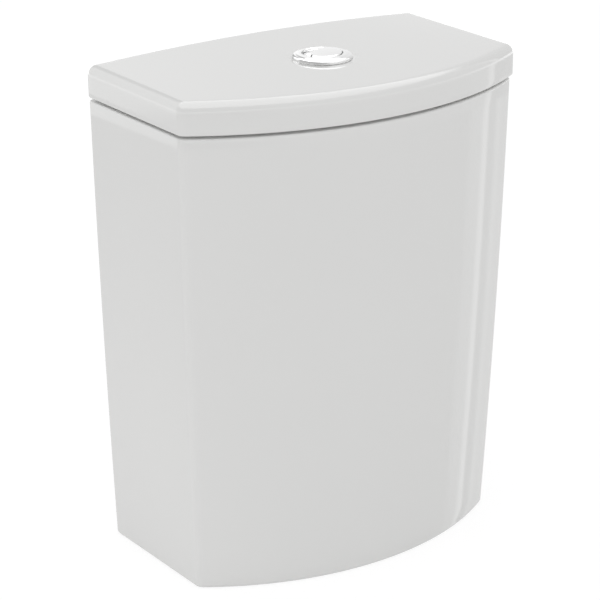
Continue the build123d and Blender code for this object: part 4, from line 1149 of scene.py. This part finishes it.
    def sleeve(self) -> None:
        """Builds the threaded sleeve, its washer and its winged nut."""
        low, high = box_mm("button_sleeve")
        core = self.sleeve_radius - self.thread_depth
        flange = (high.x - low.x) / 2
        floor_z = low.z + self.sleeve_floor
        foot_z = low.z + self.sleeve_chamfer
        profile = [
            (0, low.z), (core - self.sleeve_chamfer, low.z), (core, foot_z), (core, self.seat_z),
            (flange, self.seat_z), (flange, high.z), (self.sleeve_bore, high.z),
            (self.sleeve_bore, floor_z), (0, floor_z),
        ]
        body = body_of("button_sleeve")
        shell = lathe(profile, self.hub)
        shell = finished(shell, "button_sleeve_moulding", WHITE_ABS, body, ["button_sleeve"])
        places = []
        for rod in (self.full_rod, self.half_rod):
            spot = self.place(Vector(rod), 0) * FLAT + UP * low.z
            places.append((Matrix.Translation(spot), self.rod_bore, 3 * self.sleeve_floor))
        cut_away(shell, cylinders(places, steps=32))
        bm = bmesh.new()
        thread = Threaded(
            self.sleeve_radius, self.thread_pitch, self.thread_depth, foot_z,
            self.seat_z - self.sleeve_chamfer,
        )
        thread.wind(bm, self.hub, steps=48)
        finished(bm, "button_sleeve_thread", WHITE_ABS, body)
        finished(bench_copy("button_gasket", 0.4), "button_washer", EPDM, body, ["button_gasket"])
        nut = bench_copy("button_locknut", 0.5)
        finished(nut, "button_nut", WHITE_ABS, body, ["button_locknut"])

    def spring(self, node: str) -> None:
        """Builds a return spring: a coil of wire, closed at both ends.

        Args:
            node: the spring's node.
        """
        low, high = box_mm(node)
        hub = axis_of(node)
        mean = (high.x - low.x) / 2 - self.wire / 2
        section = [
            (
                mean + self.wire / 2 * math.cos(math.tau * i / self.wire_sides),
                low.z + self.wire / 2 * (1 + math.sin(math.tau * i / self.wire_sides)),
            )
            for i in range(self.wire_sides)
        ]
        length = high.z - low.z - self.wire
        closed = self.wire * self.closed_share
        open_run = (self.spring_turns, (length - 2 * closed) / self.spring_turns)
        bm = bmesh.new()
        coil(bm, section, hub, [(1, closed), open_run, (1, closed)], steps=20)
        piece = finished(bm, f"{node}_wire", STAINLESS, body_of(node), [node])
        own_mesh(piece)


@dataclass
class FloorFixings:
    """Studs, washers and nuts that hold the tank, and the nuts of both valves."""

    stud_radius: float = 4.0
    stud_pitch: float = 1.25
    stud_depth: float = 0.7
    thread_top: float = 39.0
    tip_inset: float = 0.6
    tip_rise: float = 0.8
    head_height: float = 6.0
    head_radius: float = 9.0
    head_round: float = 0.6
    spacing: float = 150.0

    def build(self) -> None:
        """Builds the studs and dresses what clamps them."""
        self.studs()
        for node, finish, width in (
            ("bolt_rubber_washers", EPDM, 0.6),
            ("bolt_steel_washers", ZINC, 0.2),
            ("bolt_locknuts", ZINC, 0.5),
            ("outlet_seal_washer", EPDM, 0.5),
            ("outlet_backnut", GREY_ABS, 0.8),
            ("doughnut_gasket", FOAM, 1.6),
            ("shank_seal_washer", EPDM, 0.4),
            ("shank_backnut", GREY_ABS, 0.5),
        ):
            dress(node, finish, width, "made", segments=3)

    def studs(self) -> None:
        """Builds both studs with their hexagon heads and threads."""
        low, high = box_mm("coupling_bolts")
        neck_z = high.z - self.head_height
        core = self.stud_radius - self.stud_depth
        bm = bmesh.new()
        for side in (-1, 1):
            hub = axis_of("coupling_bolts") + Vector((side * self.spacing / 2, 0, 0))
            shaft = [
                (0, low.z), (core - self.tip_inset, low.z), (core, low.z + self.tip_rise),
                (core, neck_z), (0, neck_z),
            ]
            stud = lathe(shaft, hub, steps=32)
            thread = Threaded(
                self.stud_radius, self.stud_pitch, self.stud_depth, low.z + self.tip_inset,
                self.thread_top,
            )
            thread.wind(stud, hub, steps=20)
            middle = Matrix.Translation(hub + UP * (neck_z + self.head_height / 2))
            cap = cylinders([(middle, self.head_radius, self.head_height)], steps=6)
            soften(cap, self.head_round, segments=3)
            absorb(bm, stud)
            absorb(bm, cap)
        finished(bm, "coupling_studs", ZINC, body_of("coupling_bolts"), ["coupling_bolts"])


@dataclass
class DropValve:
    """The caged drop valve under the button."""

    tail_radius: float = 29.8
    tail_pitch: float = 3.0
    tail_depth: float = 1.3
    tail_lead: float = 1.5
    thread_top: float = 38.0
    thread_run: float = 0.6

    def build(self) -> None:
        """Dresses the caged valve, its floats, lifter and rockers."""
        low = box_mm("valve_base")[0]
        base = bench_copy("valve_base", 0.35)
        hub = axis_of("valve_base")
        root = self.tail_radius - self.tail_depth
        slim(base, hub, self.thread_top, self.tail_radius, root, self.thread_run)
        thread = Threaded(
            self.tail_radius, self.tail_pitch, self.tail_depth, low.z + self.tail_lead,
            self.thread_top,
        )
        thread.wind(base, hub, steps=64)
        finished(base, "valve_base_moulding", GREY_ABS, body_of("valve_base"), ["valve_base"])
        for node, finish, width in (
            ("tower_cage", WHITE_ABS, 0.4),
            ("cage_head", WHITE_ABS, 0.4),
            ("rocker_pins", STAINLESS, 0.3),
            ("full_rocker", BLUE_ABS, 0.35),
            ("half_rocker", GREEN_ABS, 0.35),
            ("full_lifter", BLUE_ABS, 0.3),
            ("tube_lift_bar", GREEN_ABS, 0.3),
            ("full_float", BLUE_ABS, 0.4),
            ("half_float", GREEN_ABS, 0.4),
            ("overflow_tube", MILKY, 0.3),
            ("seal_carrier", GREY_ABS, 0.3),
            ("seat_seal", SILICONE, 0.5),
        ):
            dress(node, finish, width)


@dataclass
class FillValve:
    """The float valve at the left of the tank."""

    shank_radius: float = 10.48
    shank_pitch: float = 1.814
    shank_depth: float = 1.1
    shank_bore: float = 6.0
    tip_inset: float = 0.8
    tip_rise: float = 1.2
    thread_top: float = 40.0
    flange_radius: float = 17.0
    flange_low: float = 55.0
    flange_high: float = 59.0
    flange_chamfer: float = 0.6
    neck_radius: float = 9.0

    def build(self) -> None:
        """Builds the threaded shank and dresses the rest of the valve."""
        low, high = box_mm("inlet_shank")
        hub = axis_of("inlet_shank")
        core = self.shank_radius - self.shank_depth
        edge = self.flange_radius - self.flange_chamfer
        profile = [
            (self.shank_bore, low.z),
            (core - self.tip_inset, low.z),
            (core, low.z + self.tip_rise),
            (core, self.flange_low),
            (edge, self.flange_low),
            (self.flange_radius, self.flange_low + self.flange_chamfer),
            (self.flange_radius, self.flange_high - self.flange_chamfer),
            (edge, self.flange_high),
            (self.neck_radius, self.flange_high),
            (self.neck_radius, high.z),
            (self.shank_bore, high.z),
        ]
        shank = lathe(profile, hub, steps=64)
        thread = Threaded(
            self.shank_radius, self.shank_pitch, self.shank_depth, low.z + self.tip_inset,
            self.thread_top,
        )
        thread.wind(shank, hub, steps=40)
        finished(shank, "inlet_shank_moulding", WHITE_ABS, body_of("inlet_shank"), ["inlet_shank"])
        for node, finish, width in (
            ("inlet_filter", MILKY, 0.2),
            ("riser_tube", WHITE_ABS, 0.4),
            ("riser_collar", GREY_ABS, 0.5),
            ("valve_head", WHITE_ABS, 0.5),
            ("diaphragm", EPDM, 0.3),
            ("silencer_tube", WHITE_ABS, 0.3),
            ("head_cap", GREY_ABS, 0.35),
            ("arm_pin", STAINLESS, 0.2),
            ("float_arm", GREY_ABS, 0.4),
            ("pilot_seal", EPDM, 0.2),
            ("float_cup", MILKY, 0.6),
            ("float_link", WHITE_ABS, 0.3),
            ("adjuster_clip", BLUE_ABS, 0.4),
        ):
            dress(node, finish, width)


Cards = tuple[tuple[float, float], ...]
Place = tuple[float, float, float]


@dataclass(frozen=True)
class Lamp:
    """A soft rectangular lamp.

    Attributes:
        name: the lamp's name.
        place: its middle, in metres.
        target: the point that it faces, in metres.
        size: its width and height, in metres.
        glow: how bright its face is, where 1 is as bright as a white sky.
    """

    name: str
    place: Place
    target: Place
    size: tuple[float, float]
    glow: float

    def build(self) -> None:
        """Adds the lamp to the scene, unseen by the camera and in reflections."""
        light = bpy.data.lights.new(self.name, "AREA")
        light.shape = "RECTANGLE"
        light.size, light.size_y = self.size
        light.energy = self.glow * math.pi * self.size[0] * self.size[1]
        lamp = add_object(self.name, light)
        lamp.visible_camera = False
        lamp.visible_glossy = False
        lamp.location = self.place
        aim = Vector(self.target) - Vector(self.place)
        lamp.rotation_euler = aim.to_track_quat("-Z", "Y").to_euler()


@dataclass
class Studio:
    """White studio, lamps and the camera at the photograph's place.

    Attributes:
        low_cards: light of what reflections in the tank's walls see. Each stop is a bearing
            in degrees, turned from +X towards the wall, and a light, where 1 is white.
        high_cards: the same for the lid and all that faces higher.
        card_split: heights of a direction between which the low cards turn to the high ones.
        strip_rise: heights between which a strip of light under the horizon begins.
        strip_fall: heights between which it ends.
        strip_card: light of that strip.
        overhead_rise: heights between which the soft box overhead begins.
        overhead_card: light of that soft box.
        card_scale: the light that a white stop of a ramp stands for.
    """

    camera_mm: Place = (-961.45, -1398.43, 821.38)
    azimuth: float = math.radians(-33.955)
    elevation: float = math.radians(20.176)
    roll: float = math.radians(-0.427)
    lens: float = 138.43
    sensor: float = 36.0
    reach: float = 100.0
    world_light: float = 0.83
    floor_size: float = 30.0
    floor_colour: str = "#F2F2F2"
    floor_share: float = 0.7
    floor_glow: float = 1.13
    overhead_card: float = 3.2
    card_scale: float = 4.0
    card_split: tuple[float, float] = (-0.27, -0.264)
    strip_rise: tuple[float, float] = (-0.22, -0.19)
    strip_fall: tuple[float, float] = (-0.08, 0.0)
    strip_card: float = 2.0
    overhead_rise: tuple[float, float] = (0.6, 0.7)
    low_cards: Cards = (
        (-180, 0.9), (-110, 0.9), (-83, 0.95), (-60, 1.0), (-33, 0.95), (-15, 0.9),
        (-12, 1.1), (-5, 1.1), (-4, 1.6), (-1, 1.6), (0, 0.8), (5, 0.85), (6, 1.1),
        (9, 1.1), (10, 0.95), (30, 0.9), (100, 0.8), (124, 0.75), (150, 0.9), (180, 0.9),
    )
    high_cards: Cards = (
        (-180, 0.5), (-140, 0.4), (-110, 0.6), (-90, 1.1), (-60, 1.2), (-30, 1.1),
        (-12, 1.1), (-5, 1.05), (-4, 1.6), (-1, 1.6), (0, 0.8), (20, 0.85), (45, 0.92), (56, 1.0),
        (64, 1.15), (70, 0.5), (86, 0.5), (98, 1.4), (128, 1.4), (140, 0.6), (180, 0.5),
    )
    lamps: tuple[Lamp, ...] = (
        Lamp("overhead", (-0.5, -0.3, 2.4), (0, 0, 0.3), (1.2, 1.2), 0.35),
        Lamp("front", (-0.9, -2.6, 1.0), (0, 0, 0.2), (2.0, 2.0), 0.3),
        Lamp("left", (-1.8, 0.5, 0.4), (0, 0, 0.2), (1.4, 1.0), 0.25),
        Lamp("low_left", (-0.48, 0.02, 0.04), (-0.15, 0.02, 0.04), (0.3, 0.06), 1.3),
    )

    def build(self) -> None:
        """Builds the stage, the light and the camera."""
        scene = bpy.context.scene
        scene.view_settings.view_transform = "Standard"
        self.world()
        self.floor()
        for lamp in self.lamps:
            lamp.build()
        self.camera()

    def world(self) -> None:
        """Makes the world white to the camera, even as light and a set of cards in gloss."""
        world = bpy.data.worlds.new("studio")
        bpy.context.scene.world = world
        world.use_nodes = True
        tree = world.node_tree
        way = add_node(tree, "ShaderNodeTexCoord").outputs["Generated"]
        parts = add_node(tree, "ShaderNodeSeparateXYZ", {}, {0: way}).outputs
        turn = add_node(
            tree, "ShaderNodeMath", {}, {0: parts["Y"], 1: parts["X"]}, operation="ARCTAN2"
        )
        bearing = add_node(
            tree, "ShaderNodeMapRange", {"From Min": -math.pi, "From Max": math.pi},
            {"Value": turn.outputs[0]},
        ).outputs[0]
        low = self.cards(tree, bearing, self.low_cards)
        high = self.cards(tree, bearing, self.high_cards)
        horizon = self.rise(tree, parts["Z"], *self.card_split)
        around = self.blend(tree, horizon, {}, {2: low, 3: high})
        strip = self.rise(tree, parts["Z"], *self.strip_rise)
        around = self.blend(
            tree, strip, {}, {2: around, 3: self.strip(tree, parts["Z"], around)}
        )
        above = self.rise(tree, parts["Z"], *self.overhead_rise)
        card = self.overhead_card / self.card_scale
        gloss = self.blend(tree, above, {3: card}, {2: around})
        gloss = add_node(
            tree, "ShaderNodeMath", {1: self.card_scale}, {0: gloss}, operation="MULTIPLY"
        ).outputs[0]
        path = add_node(tree, "ShaderNodeLightPath").outputs
        light = self.blend(tree, path["Is Glossy Ray"], {2: self.world_light}, {3: gloss})
        seen = add_node(
            tree, "ShaderNodeMath", {},
            {0: path["Is Camera Ray"], 1: path["Is Transmission Ray"]}, operation="MAXIMUM",
        ).outputs[0]
        strength = self.blend(tree, seen, {3: 1.0}, {2: light})
        sky = tree.nodes["Background"]
        sky.inputs["Color"].default_value = (1, 1, 1, 1)
        tree.links.new(strength, sky.inputs["Strength"])

    def strip(
        self,
        tree: bpy.types.NodeTree,
        height: bpy.types.NodeSocket,
        around: bpy.types.NodeSocket,
    ) -> bpy.types.NodeSocket:
        """Returns the light of the strip under the horizon, and of what is over it."""
        end = self.rise(tree, height, *self.strip_fall)
        return self.blend(tree, end, {2: self.strip_card / self.card_scale}, {3: around})

    def cards(
        self, tree: bpy.types.NodeTree, bearing: bpy.types.NodeSocket, stops: Cards
    ) -> bpy.types.NodeSocket:
        """Returns the light of cards that stand round the object, by their bearing."""
        ramp = add_node(tree, "ShaderNodeValToRGB", {}, {0: bearing})
        band = ramp.color_ramp
        for turn, _ in stops[1:-1]:
            band.elements.new((turn + 180) / 360)
        for mark, (_, light) in zip(band.elements, stops):
            shade = light / self.card_scale
            mark.color = (shade, shade, shade, 1)
        return ramp.outputs[0]

    @staticmethod
    def rise(
        tree: bpy.types.NodeTree, height: bpy.types.NodeSocket, low: float, high: float
    ) -> bpy.types.NodeSocket:
        """Returns a share that goes from 0 to 1 as a direction rises between two heights."""
        return add_node(
            tree, "ShaderNodeMapRange", {"From Min": low, "From Max": high}, {"Value": height}
        ).outputs[0]

    @staticmethod
    def blend(
        tree: bpy.types.NodeTree,
        share: bpy.types.NodeSocket,
        values: dict[int, float],
        links: dict[int, bpy.types.NodeSocket],
    ) -> bpy.types.NodeSocket:
        """Returns a mix of two numbers, in inputs 2 and 3, by a share."""
        return add_node(tree, "ShaderNodeMix", values, {0: share, **links}).outputs[0]

    def floor(self) -> None:
        """Builds a wide white floor that keeps a faint shadow."""
        bm = bmesh.new()
        bmesh.ops.create_grid(bm, x_segments=1, y_segments=1, size=self.floor_size)
        mesh = to_mesh(bm, "floor")
        floor = add_object("floor", mesh)
        floor.visible_glossy = False
        material = bpy.data.materials.new("white_paper_floor")
        material.use_nodes = True
        tree = material.node_tree
        tree.nodes.remove(tree.nodes["Principled BSDF"])
        paper = add_node(tree, "ShaderNodeBsdfDiffuse", {"Color": linear(self.floor_colour)})
        light = add_node(tree, "ShaderNodeEmission", {"Strength": self.floor_glow})
        path = add_node(tree, "ShaderNodeLightPath").outputs
        share = add_node(
            tree, "ShaderNodeMapRange", {"To Min": 0.0, "To Max": self.floor_share},
            {"Value": path["Is Camera Ray"]},
        )
        mix = add_node(
            tree, "ShaderNodeMixShader", {},
            {0: share.outputs[0], 1: paper.outputs[0], 2: light.outputs[0]},
        )
        tree.links.new(mix.outputs[0], tree.nodes["Material Output"].inputs["Surface"])
        mesh.materials.append(material)

    def camera(self) -> None:
        """Sets the camera where the photograph was taken from."""
        az, el = self.azimuth, self.elevation
        back = Vector((math.sin(az) * math.cos(el), -math.cos(az) * math.cos(el), math.sin(el)))
        right = Vector((math.cos(az), math.sin(az), 0))
        up = back.cross(right)
        turned_right = right * math.cos(self.roll) + up * math.sin(self.roll)
        turned_up = up * math.cos(self.roll) - right * math.sin(self.roll)
        data = bpy.data.cameras.new("photograph")
        data.sensor_fit = "HORIZONTAL"
        data.sensor_width = self.sensor
        data.lens = self.lens
        data.clip_end = self.reach
        camera = add_object("photograph", data)
        basis = Matrix((turned_right, turned_up, back)).transposed().to_4x4()
        camera.matrix_world = Matrix.Translation(Vector(self.camera_mm) * MM) @ basis
        bpy.context.scene.camera = camera


def main() -> None:
    """Builds the cistern's looks in order."""
    logging.basicConfig(level=logging.INFO, format="%(name)s: %(message)s")
    Studio().build()
    ChinaShells().build()
    PushButton().build()
    FloorFixings().build()
    DropValve().build()
    FillValve().build()


if __name__ == "__main__":
    main()
